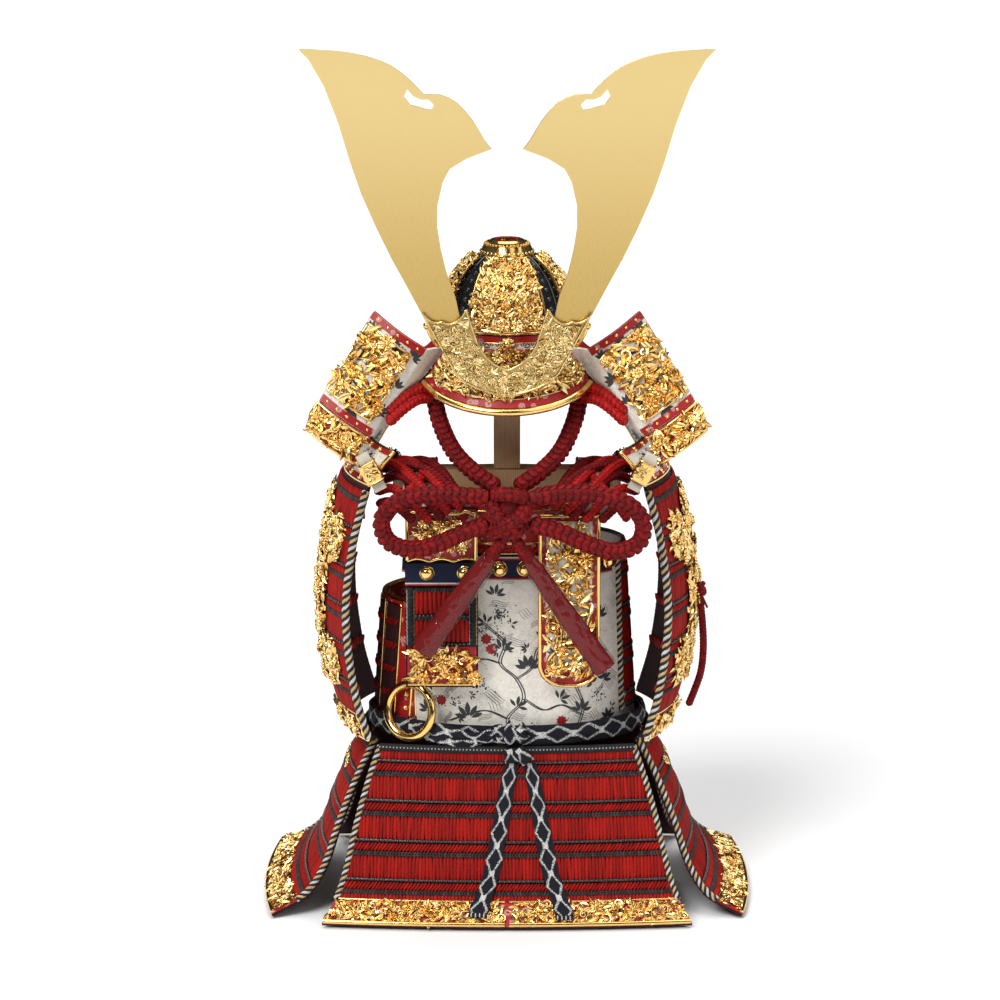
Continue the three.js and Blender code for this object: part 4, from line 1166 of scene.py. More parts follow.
def tassel(word):
    """A cut bunch of silk in a crumpled clear sleeve."""
    start, end = (np.array(p, float) + HELMET for p in TASSELS[word])
    length = np.linalg.norm(end - start)
    rng = np.random.default_rng(7 if word == "left" else 8)
    z = unit(end - start)
    x = unit(np.cross((0, 1.0, 0), z))
    y = np.cross(z, x)
    radii = [(0, 2.5), (0.08, 2.6), (0.16, 3.1), (0.22, 4.1), (0.45, 4.7), (0.7, 5.2), (0.97, 5.7), (1.0, 5.6)]
    rows = np.linspace(0, 1, 34)
    sides = 72
    angle = circle(sides)
    radius = np.interp(rows, *zip(*radii))[:, None]
    fibre = 0.16 * rng.uniform(-1, 1, sides)[None, :] * np.clip(rows * 3, 0, 1)[:, None]
    lump = 0.25 * np.sin(3 * angle[None, :] + 5 * rows[:, None]) * rows[:, None]
    r = radius * 0.985 + fibre + lump
    verts = (start + rows[:, None, None] * length * z + r[..., None] * (np.cos(angle)[None, :, None] * x
             + 0.86 * np.sin(angle)[None, :, None] * y)).reshape(-1, 3)
    i, j = (m.ravel() for m in np.meshgrid(np.arange(len(rows) - 1), np.arange(sides)))
    k = (j + 1) % sides
    faces = [np.stack([i * sides + j, i * sides + k, (i + 1) * sides + k, (i + 1) * sides + j], 1)]
    tips = np.array([start - z * 0.2, end - z * 0.6])
    first = len(verts)
    verts = np.concatenate([verts, tips])
    j = np.arange(sides)
    k = (j + 1) % sides
    base = (len(rows) - 1) * sides
    faces.append(np.stack([np.full(sides, first), k, j], 1))
    faces.append(np.stack([np.full(sides, first + 1), base + j, base + k], 1))
    grain = np.zeros((len(verts), 3))
    grain[:-2, 0] = np.tile(np.arange(sides) * 0.35, len(rows))
    grain[:-2, 1] = np.repeat(rows * length * 0.5, sides)
    grain[:, 2] = 0.5
    pile = Pile()
    pile.add((verts, faces, grain), CRIMSON)
    for turn_index in range(4):
        c = start + z * (8.2 + 1.1 * turn_index)
        a = np.linspace(0, 2 * np.pi, 25)
        loop = c + 3.0 * (np.cos(a)[:, None] * x + np.sin(a)[:, None] * y)
        pile.add(sweep(loop, 0.62, 6), CRIMSON)
    head = [start - z * 1.2, start + z * 2, start + z * 5, start + z * 8.6]
    braid(pile, head, 6.2, 2.7, (CRIMSON,), 7, seed=40)
    for k in range(60):
        a = rng.uniform(0, 2 * np.pi)
        q = rng.uniform(0.1, 0.95) * 5.0
        root = end - z * 2.2 + q * (math.cos(a) * x + 0.86 * math.sin(a) * y)
        pile.add(sweep([root, root + z * 1.6, root + z * (2.2 + rng.uniform(0, 0.5))], 0.32, 5), CRIMSON)
    silk_piece = pile.piece("tassel_" + word, "helmet", ["chin_tassel_" + word])

    sleeve = Pile()

    def film(u, v):
        a = 2 * np.pi * u
        s = mix(0.14, 1.0, v)
        base_radius = np.interp(s, *zip(*radii)) + 0.75 + 0.15 * v
        crease = 0.28 * np.sin(5 * a + 9 * v) * np.sin(7 * v + 2) + 0.34 * np.abs(np.sin(2 * a + 3 * v)) * v
        rr = base_radius + crease * (0.4 + 0.6 * v)
        ring = np.cos(a)[..., None] * x + 0.86 * np.sin(a)[..., None] * y
        return start + (s * length)[..., None] * z + rr[..., None] * ring

    sleeve.add(slab(film, 72, 48, 0.12, closed=True), FILM)
    wrap = sleeve.piece("clear_sleeve_" + word, "helmet", sharp=180)
    return silk_piece, wrap


def chin_piece(kind, word, route, seed, points, far_end, **more):
    """One braided stretch of the chin cord."""
    pile = Pile()
    braid(pile, route, CORD, 3.5, (CRIMSON,), seed=seed)
    made = pile.piece("cord_%s_%s" % (kind, word), "helmet", ["chin_%s_%s" % (kind, word)])


def chin_cord():
    tied = knot()
    for word, side in SIDES:
        pieces = list(tassel(word))
        with_pieces = [tied] + pieces if word == "left" else pieces
        strand = shifted([(side * x, y, z) for x, y, z in STRAND_ROUTE], HELMET)
        chin_piece("strand", word, strand, 11, 60, "knot", with_pieces=with_pieces)
        chin_piece("loop", word, shifted(LOOP_ROUTES[word], HELMET), 12, 80, "object")


chin_cord()
stand()
for order, facing in enumerate(OUTWARD):
    skirt_panel(facing, 100 + 20 * order)
sash_tail("left", 2.5, -14, 0.93)
sash_tail("right", 11, 28, 0.95)

# ---------- cuirass ----------


def body_point(angle, z, offset):
    t = (z - WAIST_Z) / (CHEST_Z - WAIST_Z)
    half_width = mix(WAIST_WIDTH, CHEST_WIDTH, t) + offset
    half_depth = mix(WAIST_DEPTH, CHEST_DEPTH, t) + offset
    a = np.radians(angle)
    return np.stack([half_width * np.sin(a), -half_depth * np.cos(a), z + 0 * a], -1)


def body_surface(from_angle, to_angle, top_z, foot_z, offset, outward):
    point = lambda u, v: body_point(mix(from_angle, to_angle, u), mix(top_z, foot_z, v), offset)
    return Surface(point, outward)


def shell():
    """Printed leather in front, laced rows round the side and the back."""
    pile = Pile()
    leather = body_surface(SHELL_FROM, SHELL_SEAM, CHEST_Z, WAIST_Z, 0, (0, -1, 0))
    laced = body_surface(SHELL_SEAM, SHELL_TO, CHEST_Z, WAIST_Z, 0, (0.5, 1, 0))
    whole = body_surface(SHELL_FROM, SHELL_TO, CHEST_Z, WAIST_Z, 0, (1, 1, 0))
    pile.add(slab(whole.point, 120, 10, PLATE - 0.3), LEATHER)
    face = PLATE / 2 - 0.12
    branch = [[(2, 92), (0, 82), (7, 72), (4, 62), (-3, 54), (-1, 44), (-8, 36), (-14, 30)],
              [(4, 62), (11, 56), (13, 48), (18, 41)], [(0, 82), (-9, 78), (-17, 80), (-26, 84)],
              [(7, 72), (16, 78), (24, 76), (34, 82)], [(-3, 54), (-10, 52), (-18, 55)],
              [(30, 92), (35, 78), (31, 64), (38, 52)], [(-30, 94), (-36, 84), (-33, 72)]]
    shift = float(-(SHELL_SEAM + SHELL_FROM) / 2 / (SHELL_SEAM - SHELL_FROM) * leather.width_at(40))
    for route in branch:
        for side in (-0.55, 0.55):
            printed_line(pile, leather, [(x + shift + side, s) for x, s in route], 0.32, face)
    sprigs = [(-2, 47, 6.0, 0.2, 5), (9, 57, 7.0, 0.0, 6), (16, 42, 5.6, 0.5, 5), (-17, 82, 7.5, -0.1, 5),
              (4, 76, 5.5, 0.6, 4), (-9, 34, 5.0, -0.6, 4), (-20, 56, 5.0, -0.9, 4), (23, 73, 5.5, 0.9, 4),
              (34, 80, 6.2, 0.1, 5), (38, 50, 6.0, 0.3, 5), (31, 62, 5.0, -0.8, 4), (-31, 92, 5.2, 0.3, 5),
              (-37, 80, 5.6, -0.4, 5), (-33, 66, 5.0, 0.3, 4), (47, 66, 6.0, 0.4, 5), (50, 86, 5.6, -0.2, 5),
              (45, 34, 6.0, 0.1, 5), (18, 24, 5.5, 0.1, 5), (-5, 20, 5.4, 0.2, 5), (-28, 24, 5.6, -0.2, 5)]
    for x, s, size, angle, leaves in sprigs:
        sprig(pile, leather, x + shift, s, size, angle, face, leaves)
    for index, (x, s) in enumerate([(-6, 40), (-12, 66), (26, 88), (-24, 74), (40, 90), (12, 88), (-2, 30), (44, 74)]):
        printed_dots(pile, leather, x + shift, s, 2.4, 26, 0.42, face, 60 + index)
    for x, s in [(-9, 42), (-7, 47), (24, 84), (-30, 74)]:
        pile.scatter(DAISY, spot(leather, x + shift, s, face), (2.8, 2.8, 0.22), RED_LEATHER)
    rng = np.random.default_rng(77)
    half_print = float(leather.width_at(40)) / 2
    for _ in range(64):
        x, s = rng.uniform(-half_print + 5, half_print - 4), rng.uniform(6, 86)
        bend, reach = rng.uniform(-1.2, 1.2), rng.uniform(2.0, 4.2)
        for k in range(4):
            arc = [(x + reach * t * math.cos(bend) - 0.9 * k * math.sin(bend) - 0.5 * k,
                    s + reach * t * math.sin(bend) + 0.9 * k * math.cos(bend) + 0.7 * math.sin(2.6 * t))
                   for t in np.linspace(-1, 1, 5)]
            printed_line(pile, leather, arc, 0.17, face, GREY_INK)
    for _ in range(26):
        x, s = rng.uniform(-half_print + 6, half_print - 5), rng.uniform(8, 84)
        sprig(pile, leather, x, s, rng.uniform(2.6, 4.6), rng.uniform(-2.0, 2.0), face, int(rng.integers(3, 6)))
    rows = [("long", 0, 8), ("beads", 8, 10), ("slanted", 10, 14.5), ("cord", 14.5, 16.5), ("long", 16.5, 30),
            ("beads", 30, 32), ("slanted", 32, 36.5), ("cord", 36.5, 38.5), ("long", 38.5, 52), ("beads", 52, 54),
            ("slanted", 54, 58.5), ("cord", 58.5, 60.5), ("long", 60.5, 74), ("beads", 74, 76), ("slanted", 76, 80.5),
            ("cord", 80.5, 82.5)]
    laced_rows(pile, laced, rows, 300, 1.9, PLATE / 2 - 0.5)
    path = line_on(leather, leather.width_at(0) / 2, np.linspace(0, 83, 20), 1.2)
    rope(pile, path, 1.5, EDGE_COLOURS, 6.5)
    rim_line(pile, whole, edge_to_edge(whole, 0.4), 1.1, 0, BLACK)
    for side in (-1, 1):
        half = whole.width_at(40) / 2
        rim_line(pile, whole, [(side * (half - 0.2), 1), (side * (half - 0.2), 93)], 1.0, 0, SMOOTH_GOLD)
    pile.piece("cuirass_body", "stand", ["cuirass_shell"])
    return leather


def side_plate():
    """The separate plate under the arm: red printed leather, a column of studs and dark rimmed lames."""
    pile = Pile()
    top, back, front = 152, -134, -46
    whole = body_surface(back, front, top, WAIST_Z, PLATE + GAP, (-1, 0, 0))
    pile.add(slab(whole.point, 48, 8, PLATE - 0.1), RED_LEATHER)
    half = float(whole.width_at(30)) / 2
    for k in range(9):
        stud(pile, spot(whole, half - 3.0, 4 + 7.2 * k, PLATE / 2), 1.25)
    rim_line(pile, whole, [(half - 0.5, 0.5), (half - 0.5, 67)], 0.8, 0.4, SMOOTH_GOLD)
    rim_line(pile, whole, edge_to_edge(whole, 0.5), 1.1, 0, SMOOTH_GOLD)
    for k in range(3):
        x = half - 14 - 13 * k
        outline = [(x - 5.5, 3), (x - 5.5, 66), (x + 5.5, 66), (x + 5.5, 3), (x - 5.5, 3)]
        rim_line(pile, whole, outline, 0.6, PLATE / 2 + 0.2, SMOOTH_GOLD)
        layer(pile, whole, (x - 5, x + 5), (4, 65), PLATE / 2 + 0.25, 0.7, DARK, (6, 12))
        for t in range(5):
            twill(pile, whole, 12 + 12 * t, 3.6, 1.6, PLATE / 2 + 1.0, 330 + 5 * k + t, RED_SILK, x0=x - 4.4, x1=x + 4.4)
    pile.piece("side_plate", "stand", ["waidate"])


def upper_plates():
    """Bowed plates over the chest and the shoulder blades."""
    for facing, half, top, node, seed in ((-1, 38, 204, "breast_plate", 350), (1, 44, 207, "back_plate", 360)):
        foot = CHEST_Z + GAP

        def point(u, v, facing=facing, half=half, top=top, foot=foot):
            x = mix(-half, half, u) * (1 if facing < 0 else -1) * mix(1, 0.94, (1 - v) ** 2)
            return np.stack([x, facing * CHEST_DEPTH * (1 - 0.2 * (x / 38) ** 2), mix(top, foot, v) + 0 * x], -1)

        surface = Surface(point, (0, facing, 0))
        pile = Pile()
        pile.add(slab(point, 40, 8, PLATE), RED_LEATHER if facing < 0 else LEATHER)
        corners = panel_outline(surface, 0.5, 0.5, surface.length - 0.5)
        rim_line(pile, surface, corners, 0.95, 0.2, SMOOTH_GOLD)
        if facing < 0:
            rim_line(pile, surface, box(6 - half, half - 6, 4, 20), 0.6, PLATE / 2 + 0.2, SMOOTH_GOLD)
            twill(pile, surface, 23.2, 3.0, 1.7, PLATE / 2 + 0.5, seed, BRIGHT_RED)
            for x in (-30, -15, 0, 15, 30):
                sprig(pile, surface, x, 12, 5.0, 0.2 * x / 15, PLATE / 2, 5, WHITE_SILK)
        else:
            for x, angle in ((-30, 0.3), (-12, -0.2), (12, 0.3), (30, -0.3)):
                sprig(pile, surface, x, 12, 6.0, angle, PLATE / 2 - 0.1, 5)
            twill(pile, surface, 25.5, 3.4, 1.7, PLATE / 2 + 0.5, seed, RED_SILK)
            plait(pile, surface, 22.6, 2.0, 1.5, PLATE / 2 + 0.6, seed + 1)
        pile.piece(node + "_finished", "stand", [node])


def chest_band():
    surface = body_surface(-58, 58, CHEST_Z, CHEST_Z - 12, PLATE / 2 + GAP + 1.0, (0, -1, 0))
    pile = Pile()
    pile.add(slab(surface.point, 48, 4, 1.8), NAVY)
    for s, material in ((0.5, WHITE_SILK), (1.3, BRIGHT_RED), (10.8, BRIGHT_RED), (11.7, WHITE_SILK)):
        rim_line(pile, surface, edge_to_edge(surface, s, 0.3), 0.42, 0.95, material)
    x = np.array([-46.0, -36.0, -25.5, -3.4, 7.8, 44.0, 53.0])
    stud(pile, surface.frame(x, 6.1, 0.9), 3.6)
    pile.piece("navy_band", "stand", ["chest_band"])


def straps():
    rest = SHOULDER_Z + GAP + PLATE / 2
    inner_y = CHEST_DEPTH * (1 - 0.2 * (34 / 38) ** 2) + PLATE + 2 * GAP
    route = Spline([(0, inner_y, 198), (0, inner_y, 207.5), (0, mix(inner_y, 8, 0.45), rest), (0, 8, rest),
                    (0, -8, rest), (0, -32.6, rest - 1.5), (0, -40.6, SHOULDER_Z - 5),
                    (0, PLAQUE_Y + PLATE + GAP + 0.1, SHOULDER_Z - 13)])
    for word, side in SIDES:
        def point(u, v, side=side):
            p = route.at(v)
            return np.stack([side * (34 + 16 * u), p[..., 1] + 0 * u, p[..., 2] + 0 * u], -1)

        surface = Surface(point, (0, 0, 1))
        pile = Pile()
        pile.add(slab(point, 6, 50, PLATE - 0.2), LEATHER)
        for k in range(int(surface.length / 6)):
            sprig(pile, surface, 2.6 * (-1) ** k, 4 + 6 * k, 4.6, 1.2 * math.sin(1.7 * k), PLATE / 2 - 0.05, 6)
        for x in (-7.2, 7.2):
            s = np.linspace(0.5, surface.length - 0.5, 60)
            pile.add(sweep(line_on(surface, x, s, 0.75), 0.5, 6), BRIGHT_RED)
        for k in range(int(surface.length / 2.6)):
            for x in (-5.6, 5.6):
                p, across, down, normal = spot(surface, x, 1.5 + 2.6 * k, 0.72)
                pile.scatter(STITCH, (p, down, across, normal), (0.8, 0.28, 0.22), WHITE_SILK)
        pile.piece("shoulder_strap_" + word, "stand", ["strap_" + word])


def flat_surface(x, y, top_z, half, height):
    point = lambda u, v: np.stack([x + half * (2 * u - 1), y + 0 * u, top_z - height * v + 0 * u], -1)
    return Surface(point, (0, -1, 0))


def sendan():
    """The left chest plaque: a rimmed red cap, three laced tiers and a pierced gold foot."""
    x, half, top, height = -31.5, 17.5, 205, 90
    surface = flat_surface(x, PLAQUE_Y, top, half, height)
    pile = Pile()
    pile.add(slab(surface.point, 8, 40, PLATE - 0.1), DARK)
    face = PLATE / 2
    layer(pile, surface, (1 - half, half - 1), (1, 26), face + 0.2, 0.6, RED_LEATHER, (12, 10))
    frame_line = [(-half + 1, 26)] + [(-half + 1, s) for s in np.linspace(24, 2, 8)]
    frame_line += [(xx, 1.6 + 1.6 * abs(math.sin(math.pi * 1.5 * xx / half)))
                   for xx in np.linspace(-half + 1.4, half - 1.4, 21)]
    frame_line += [(half - 1, s) for s in np.linspace(2, 24, 8)] + [(half - 1, 26)]
    rim_line(pile, surface, frame_line, 0.95, face + 0.7, SMOOTH_GOLD)
    foot_line = [(xx, 27 - 1.8 * abs(math.cos(math.pi * 1.5 * xx / half)))
                 for xx in np.linspace(-half + 1, half - 1, 21)]
    rim_line(pile, surface, foot_line, 0.85, face + 0.7, SMOOTH_GOLD)
    relief(pile, surface, -half + 4.5, half - 4.5, 6.0, 22.0, 3.6, face + 0.6, 380,
           lambda a, b: (a / (half - 4)) ** 2 + ((b - 14) / 9.0) ** 2 < 1)
    layer(pile, surface, (-half - 0.2, half + 0.2), (27.4, 38.0), face + 1.3, 1.6, NAVY, (12, 6))
    for s_line, material in ((37.3, WHITE_SILK), (38.1, BRIGHT_RED)):
        rim_line(pile, surface, [(-half, s_line), (half, s_line)], 0.4, face + 2.1, material)
    stud(pile, surface.frame([-7.0, 11.0], 32.2, face + 2.0), 3.4)
    s = 41.5
    for tier in range(2):
        plait(pile, surface, s - 0.6, 2.0, 1.5, face + 0.6, 390 + tier)
        strands(pile, surface, s, s + 11.6, 2.1, face + 0.4, 400 + tier, x0=-half + 4.4, x1=half - 4.4, thick=1.1)
        beads(pile, surface, s + 12.3, 0.85, 1.9, face + 0.9, BLACK, -half + 4, half - 4)
        s += 14.2
    for side in (-1, 1):
        path = line_on(surface, side * (half - 2.4), np.linspace(39.5, 69, 20), face + 0.9)
        braid(pile, path, 3.8, 2.1, (BLACK_SILK, WHITE_SILK, WHITE_SILK, BLACK_SILK, TAN_SILK, BLACK_SILK), 6, seed=420)
    layer(pile, surface, (0.8 - half, half - 0.8), (69.5, 88.0), face + 0.25, 0.6, RED_LEATHER, (12, 8))
    relief(pile, surface, -half + 1.4, half - 1.4, 70.2, 87.2, 5.2, face + 0.8, 430, height=1.25, gap=1.15)
    rim_line(pile, surface, [(-half + 1, 88.4), (half - 1, 88.4)], 0.8, face + 0.6, SMOOTH_GOLD)
    pile.piece("sendan_finished", "sendan", ["sendan_plate"])


def kyubi():
    """The right chest plaque: pierced gold on red and printed leather inside a polished rim."""
    x, half, top, height, round_foot = 30, 15, 202, 87, 11
    surface = flat_surface(x, PLAQUE_Y, top, half, height)
    pile = Pile()

    def plate(u, v):
        s = height * (v - 0.001)
        down = np.clip((s - (height - round_foot)) / round_foot, 0, 1)
        half_here = half - round_foot * (1 - np.sqrt(np.clip(1 - down ** 2, 0.0, 1)))
        return np.stack([x + half_here * (2 * u - 1), PLAQUE_Y + 0 * u, top - s], -1)

    pile.add(slab(plate, 16, 60, PLATE - 0.1), RED_LEATHER)
    face = PLATE / 2
    corner = [(half - 1 - round_foot * (1 - math.cos(a)), height - 1 - round_foot * (1 - math.sin(a)))
              for a in np.linspace(0, math.pi / 2, 9)]
    outline = [(-half + 1, 1.2)] + [(-a, b) for a, b in corner] + [(a, b) for a, b in reversed(corner)]
    outline += [(half - 1, 1.2), (-half + 1, 1.2)]
    rim_line(pile, surface, outline, 0.95, face + 0.5, SMOOTH_GOLD)
    round_foot = lambda a, b: a ** 2 + (b - height + 12) ** 2 < (half - 4) ** 2
    inner = lambda a, b: (np.abs(a) < half - 3.4) & ((b < height - 9) | round_foot(a, b))
    layer(pile, surface, (4 - half, half - 4), (4, height - 9), face + 0.1, 0.5, LEATHER, (10, 40))
    for k in range(14):
        sprig(pile, surface, (-7, 7, 0)[k % 3], 8 + 5.2 * k, 4.2, 0.9 * math.sin(2.1 * k), face + 0.36, 5)
    relief(pile, surface, -half + 4.2, half - 4.2, 5, height - 5, 5.0, face + 0.9, 440, inner, height=1.15, gap=1.22)
    pile.piece("kyubi_finished", "kyubi", ["kyubi_plate"])


def waist_sash():
    """Two flat turns of braid round the waist, with folds, and the knot in front."""
    pile = Pile()

    def sash(u, v):
        p = body_point(360 * u, np.full(np.shape(u), float(WAIST_Z)), SASH_OFFSET - 0.2)
        a = 2 * np.pi * u
        p[..., 2] = 84.1 + 9.7 * v
        out = unit(np.stack([p[..., 0], p[..., 1], 0 * a], -1))
        swell = 0.55 * np.sin(np.pi * v) + 0.28 * np.sin(7 * a + 5 * v) + 0.18 * np.sin(17 * a - 3 * v)
        return p + out * swell[..., None]

    verts, faces, grain = slab(sash, 240, 8, 1.5, closed=True)
    grain[:, 0], grain[:, 1] = grain[:, 1] * 0.0 + np.tile(np.linspace(-4.2, 4.2, 9).repeat(240), 2), grain[:, 0] + 160
    pile.add((verts, faces, grain), BRAID)

    angles = np.linspace(-44, 0.5, 30)
    t = np.linspace(0, 1, 30)
    route = body_point(angles, WAIST_Z + 4, SASH_OFFSET + 2.3 - 1.1 * (1 - t) ** 2)
    route[:, 2] = 90.5 - 5.0 * np.sin(np.pi * t) ** 2 - 1.0 * t
    pile.add(flat_band(route, 6.6, 1.1, twist=0.4), BRAID)
    pile.piece("waist_wrap", "stand", ["waist_sash"])

    tied = Pile()
    centre = np.array([2, -46.15, 91.5])
    tied.add(ball(centre, (5.6, 2.2, 3.9)), BRAID)
    for points, width, twist in (
        ([(-7.4, 1.6, 1.6), (-4, -1.8, 2.6), (1, -2.6, 0.6), (5, -1.6, -2), (7.2, 1.6, -3.6)], 5.2, 0.5),
        ([(-6.4, 1.8, -3.4), (-3, -1.6, -2.4), (1.5, -2.5, 0.4), (4.6, -1.4, 2.6), (6.4, 1.8, 3.6)], 4.6, -0.5),
        ([(0.4, 1.6, 4.6), (-0.6, -2.2, 3.4), (-0.9, -3.1, 0), (-0.4, -2.2, -3.2), (0.6, 1.4, -4.6)], 5.0, 0.15),
    ):
        line = Spline(shifted(points, centre)).points(20)
        tied.add(flat_band(line, width, 0.8, twist=twist), BRAID)
    tied.piece("sash_knot_finished", "stand", ["sash_knot"])


def flat_band(path, width, thickness, twist=0.0, outward=(0, -1, 0)):
    """A flat strip along path that faces outward, rolled by twist along its length."""
    tangent = unit(np.gradient(path, axis=0))
    given = np.broadcast_to(np.array(outward, float), path.shape)
    normal = unit(given - tangent * np.sum(given * tangent, 1, keepdims=True))
    side = np.cross(tangent, normal)
    length = travelled(path)
    roll = twist * np.sin(length / max(length[-1], 1e-6) * np.pi * 2)
    side, normal = (side * np.cos(roll)[:, None] + normal * np.sin(roll)[:, None],
                    normal * np.cos(roll)[:, None] - side * np.sin(roll)[:, None])

    def point(u, v):
        index = v * (len(path) - 1)
        pick = lambda array: np.stack([np.interp(index, np.arange(len(path)), array[:, k]) for k in range(3)], -1)
        hump = 0.35 * (1 - (2 * u - 1) ** 2)
        return pick(path) + pick(side) * (width * (u - 0.5))[..., None] + pick(normal) * hump[..., None]

    return slab(point, 8, 2 * len(path), thickness)


def ring():
    pile = Pile()
    tilt, heading = math.radians(78), math.radians(-33)
    radius, wire = 13, 2.1
    p = body_point(np.array(-42.0), np.array(float(WAIST_Z)), PLATE / 2 + GAP + PLATE + GAP + 3.6 + wire - 0.7)
    centre = np.array([p[0], p[1], WAIST_Z + radius + wire])
    cz, sz, cx, sx = math.cos(heading), math.sin(heading), math.cos(tilt), math.sin(tilt)
    x = np.array([cz, sz, 0])
    y = np.array([-sz * cx, cz * cx, sx])
    z = np.cross(x, y)
    pile.add(at(moved(closed_ring(radius, wire, 72, 16), (0, 0, 0), x, y, z), centre), SMOOTH_GOLD)
    pile.piece("waist_ring_finished", "ring", ["waist_ring"])


def back_bow():
    """The tied bow on the back, made of the same crimson braid, with two tassels."""
    pile = Pile()
    z = CHEST_Z + 2
    y = WAIST_DEPTH - (WAIST_DEPTH - CHEST_DEPTH) * ((z - 52 - 84) / 94) + PLATE / 2 + GAP + 3 - 0.4
    centre = np.array([0, y, z])
    for side in (-1, 1):
        loop = [(0, 0.6, 0), (side * 9, 0.4, 5.5), (side * 19, 0, 10), (side * 27, 0, 7.5), (side * 30.2, 0, 1),
                (side * 26, 0, -5.5), (side * 16, 0, -7.0), (side * 7, 0.4, -3), (0, 0.6, -1)]
        braid(pile, shifted(loop, centre), 5.2, 2.5, (CRIMSON,), 7, seed=470, plump=0.9)
        head = [(side * 1.5, 0, -2), (side * 4, 0, -9), (side * 6.3, 0, -17)]
        braid(pile, shifted(head, centre), 5.0, 2.5, (CRIMSON,), 7, seed=471, plump=0.9)
        top, end = centre + np.array((side * 6.3, 0, -17)), centre + np.array((side * 8.6, 0, -50.5))
        thick = np.interp(np.linspace(0, 1, 30), [0, 0.1, 0.3, 1], [2.2, 2.4, 2.9, 3.4])
        line = Spline([top, mix(top, end, 0.5), end]).points(30)
        pile.add(sweep(line, thick, 24, 0.72, (0, -1, 0)), CRIMSON)
        for a in np.linspace(0, 2 * np.pi, 33)[:-1]:
            x_dir = np.array([math.cos(a), 0.72 * math.sin(a), 0])
            line = [top + x_dir * 2.2, mix(top, end, 0.3) + x_dir * 2.9, end + x_dir * 3.35]
            pile.add(sweep(Spline(line).points(10), 0.30, 5), CRIMSON)
    pile.add(ball(centre, (4.6, 2.6, 4.8)), CRIMSON)
    for route in ([(-4.5, 0.8, 3), (0, 2.6, 0.6), (4.5, 0.8, -3)], [(-4.5, 0.8, -3), (0, 2.4, -0.6), (4.5, 0.8, 3)]):
        braid(pile, shifted(Spline(route).points(9), centre), 3.6, 2.3, (CRIMSON,), 6, seed=473)
    pile.piece("tied_back_bow", "stand", ["back_bow"])


def shoulder_cords():
    """Braided red cords heaped over each shoulder, with a dark tuft behind them."""
    for word, side in SIDES:
        pile = Pile()
        routes = [
            ([(62, -10, 217), (54, -24, 221), (45, -37, 217), (36, -45, 209), (28, -47, 203)], 5.0, BRIGHT_RED),
            ([(60, -18, 212), (51, -31, 217), (42, -41, 212), (35, -47, 205), (31, -48, 200)], 4.6, CRIMSON),
            ([(56, -6, 218), (47, -22, 222), (37, -36, 218), (29, -44, 211), (22, -46, 205)], 5.0, BRIGHT_RED),
            ([(63, -26, 208), (55, -36, 212), (47, -43, 208), (41, -47, 203), (37, -48, 199)], 4.6, BRIGHT_RED),
            ([(50, -2, 217), (40, -16, 221), (31, -31, 219), (25, -40, 213), (19, -44, 208)], 4.4, CRIMSON),
            ([(62, -30, 203), (56, -39, 206), (50, -45, 203), (45, -48, 199)], 4.6, CRIMSON),
            ([(38, -20, 216), (41, -33, 217), (47, -41, 212), (54, -44, 204), (58, -42, 198)], 4.4, BRIGHT_RED),
            ([(60, -14, 216), (50, -26, 222), (39, -33, 221), (30, -38, 216), (24, -43, 210)], 4.4, CRIMSON),
        ]
        for index, (route, diameter, material) in enumerate(routes):
            braid(pile, [np.array((side * x, y, z), float) for x, y, z in route], diameter, 2.0, (material,), 6,
                  seed=480 + index, plump=0.9)
        centre = np.array((side * 57, -10, 220.0))
        pile.add(ball(centre, (5.0, 4.5, 5.5)), DARK_SILK)
        rng = np.random.default_rng(490)
        for _ in range(90):
            way = unit(rng.normal(0, 1, 3) * np.array([1.0, 1.0, 0.9]))
            root = centre + way * np.array([4.0, 3.6, 4.6])
            line = np.array([root, root + way * 1.6, root + way * 2.4 - np.array([0, 0, 1.0])])
            pile.add(sweep(line, 0.34, 5), DARK_SILK)
        pile.piece("shoulder_cords_" + word, "stand")


def sash_front():
    """The braid strand over the ring's lower half, and the bands from the knot down to the hanging ends."""
    pile = Pile()
    for low, high, width, lift in ((-36, -6, 6.4, 4.2), (-34, -12, 5.4, 4.8)):
        angles = np.linspace(low, high, 34)
        t = np.linspace(0, 1, 34)
        route = body_point(angles, WAIST_Z + 4, SASH_OFFSET + lift - 1.6 * (2 * t - 1) ** 2)
        route[:, 2] = (90.0 if width > 6 else 86.5) + 1.6 * np.sin(np.pi * 2.0 * t)
        pile.add(flat_band(route, width, 1.0, twist=0.35), BRAID)
    pile.piece("sash_front_turns", "stand")
    falls = Pile()
    for x0, x1 in ((1.0, 2.5), (5.0, 10.5)):
        route = Spline([(x0, -48.4, 84.2), (mix(x0, x1, 0.5), -48.6, 81), (x1, -47.6, 77.5)]).points(16)
        falls.add(flat_band(route, 6.4, 1.0, twist=0.3), BRAID)
    falls.piece("sash_front_falls", "skirt_front")


shell()
side_plate()
upper_plates()
chest_band()
straps()
sendan()
kyubi()
waist_sash()
ring()
back_bow()
shoulder_cords()
sash_front()

# ---------- shoulder guards ----------

SODE_TOP, SODE_FOOT, SODE_HALF, SODE_Y, SODE_CURL = 214, 86, 42, 2, 13
SODE_PROFILE = Spline([(79, SODE_TOP, 0), (86, mix(SODE_TOP, SODE_FOOT, 0.22), 0),
                       (90, mix(SODE_TOP, SODE_FOOT, 0.5), 0),
                       (86, mix(SODE_TOP, SODE_FOOT, 0.8), 0), (79, SODE_FOOT, 0)])
CAP_ROUTE = Spline([(79, SODE_TOP + 0.5, 0), (76.5, SODE_TOP + 4, 0), (73, SODE_TOP + 10, 0), (67, SODE_TOP + 17, 0)])


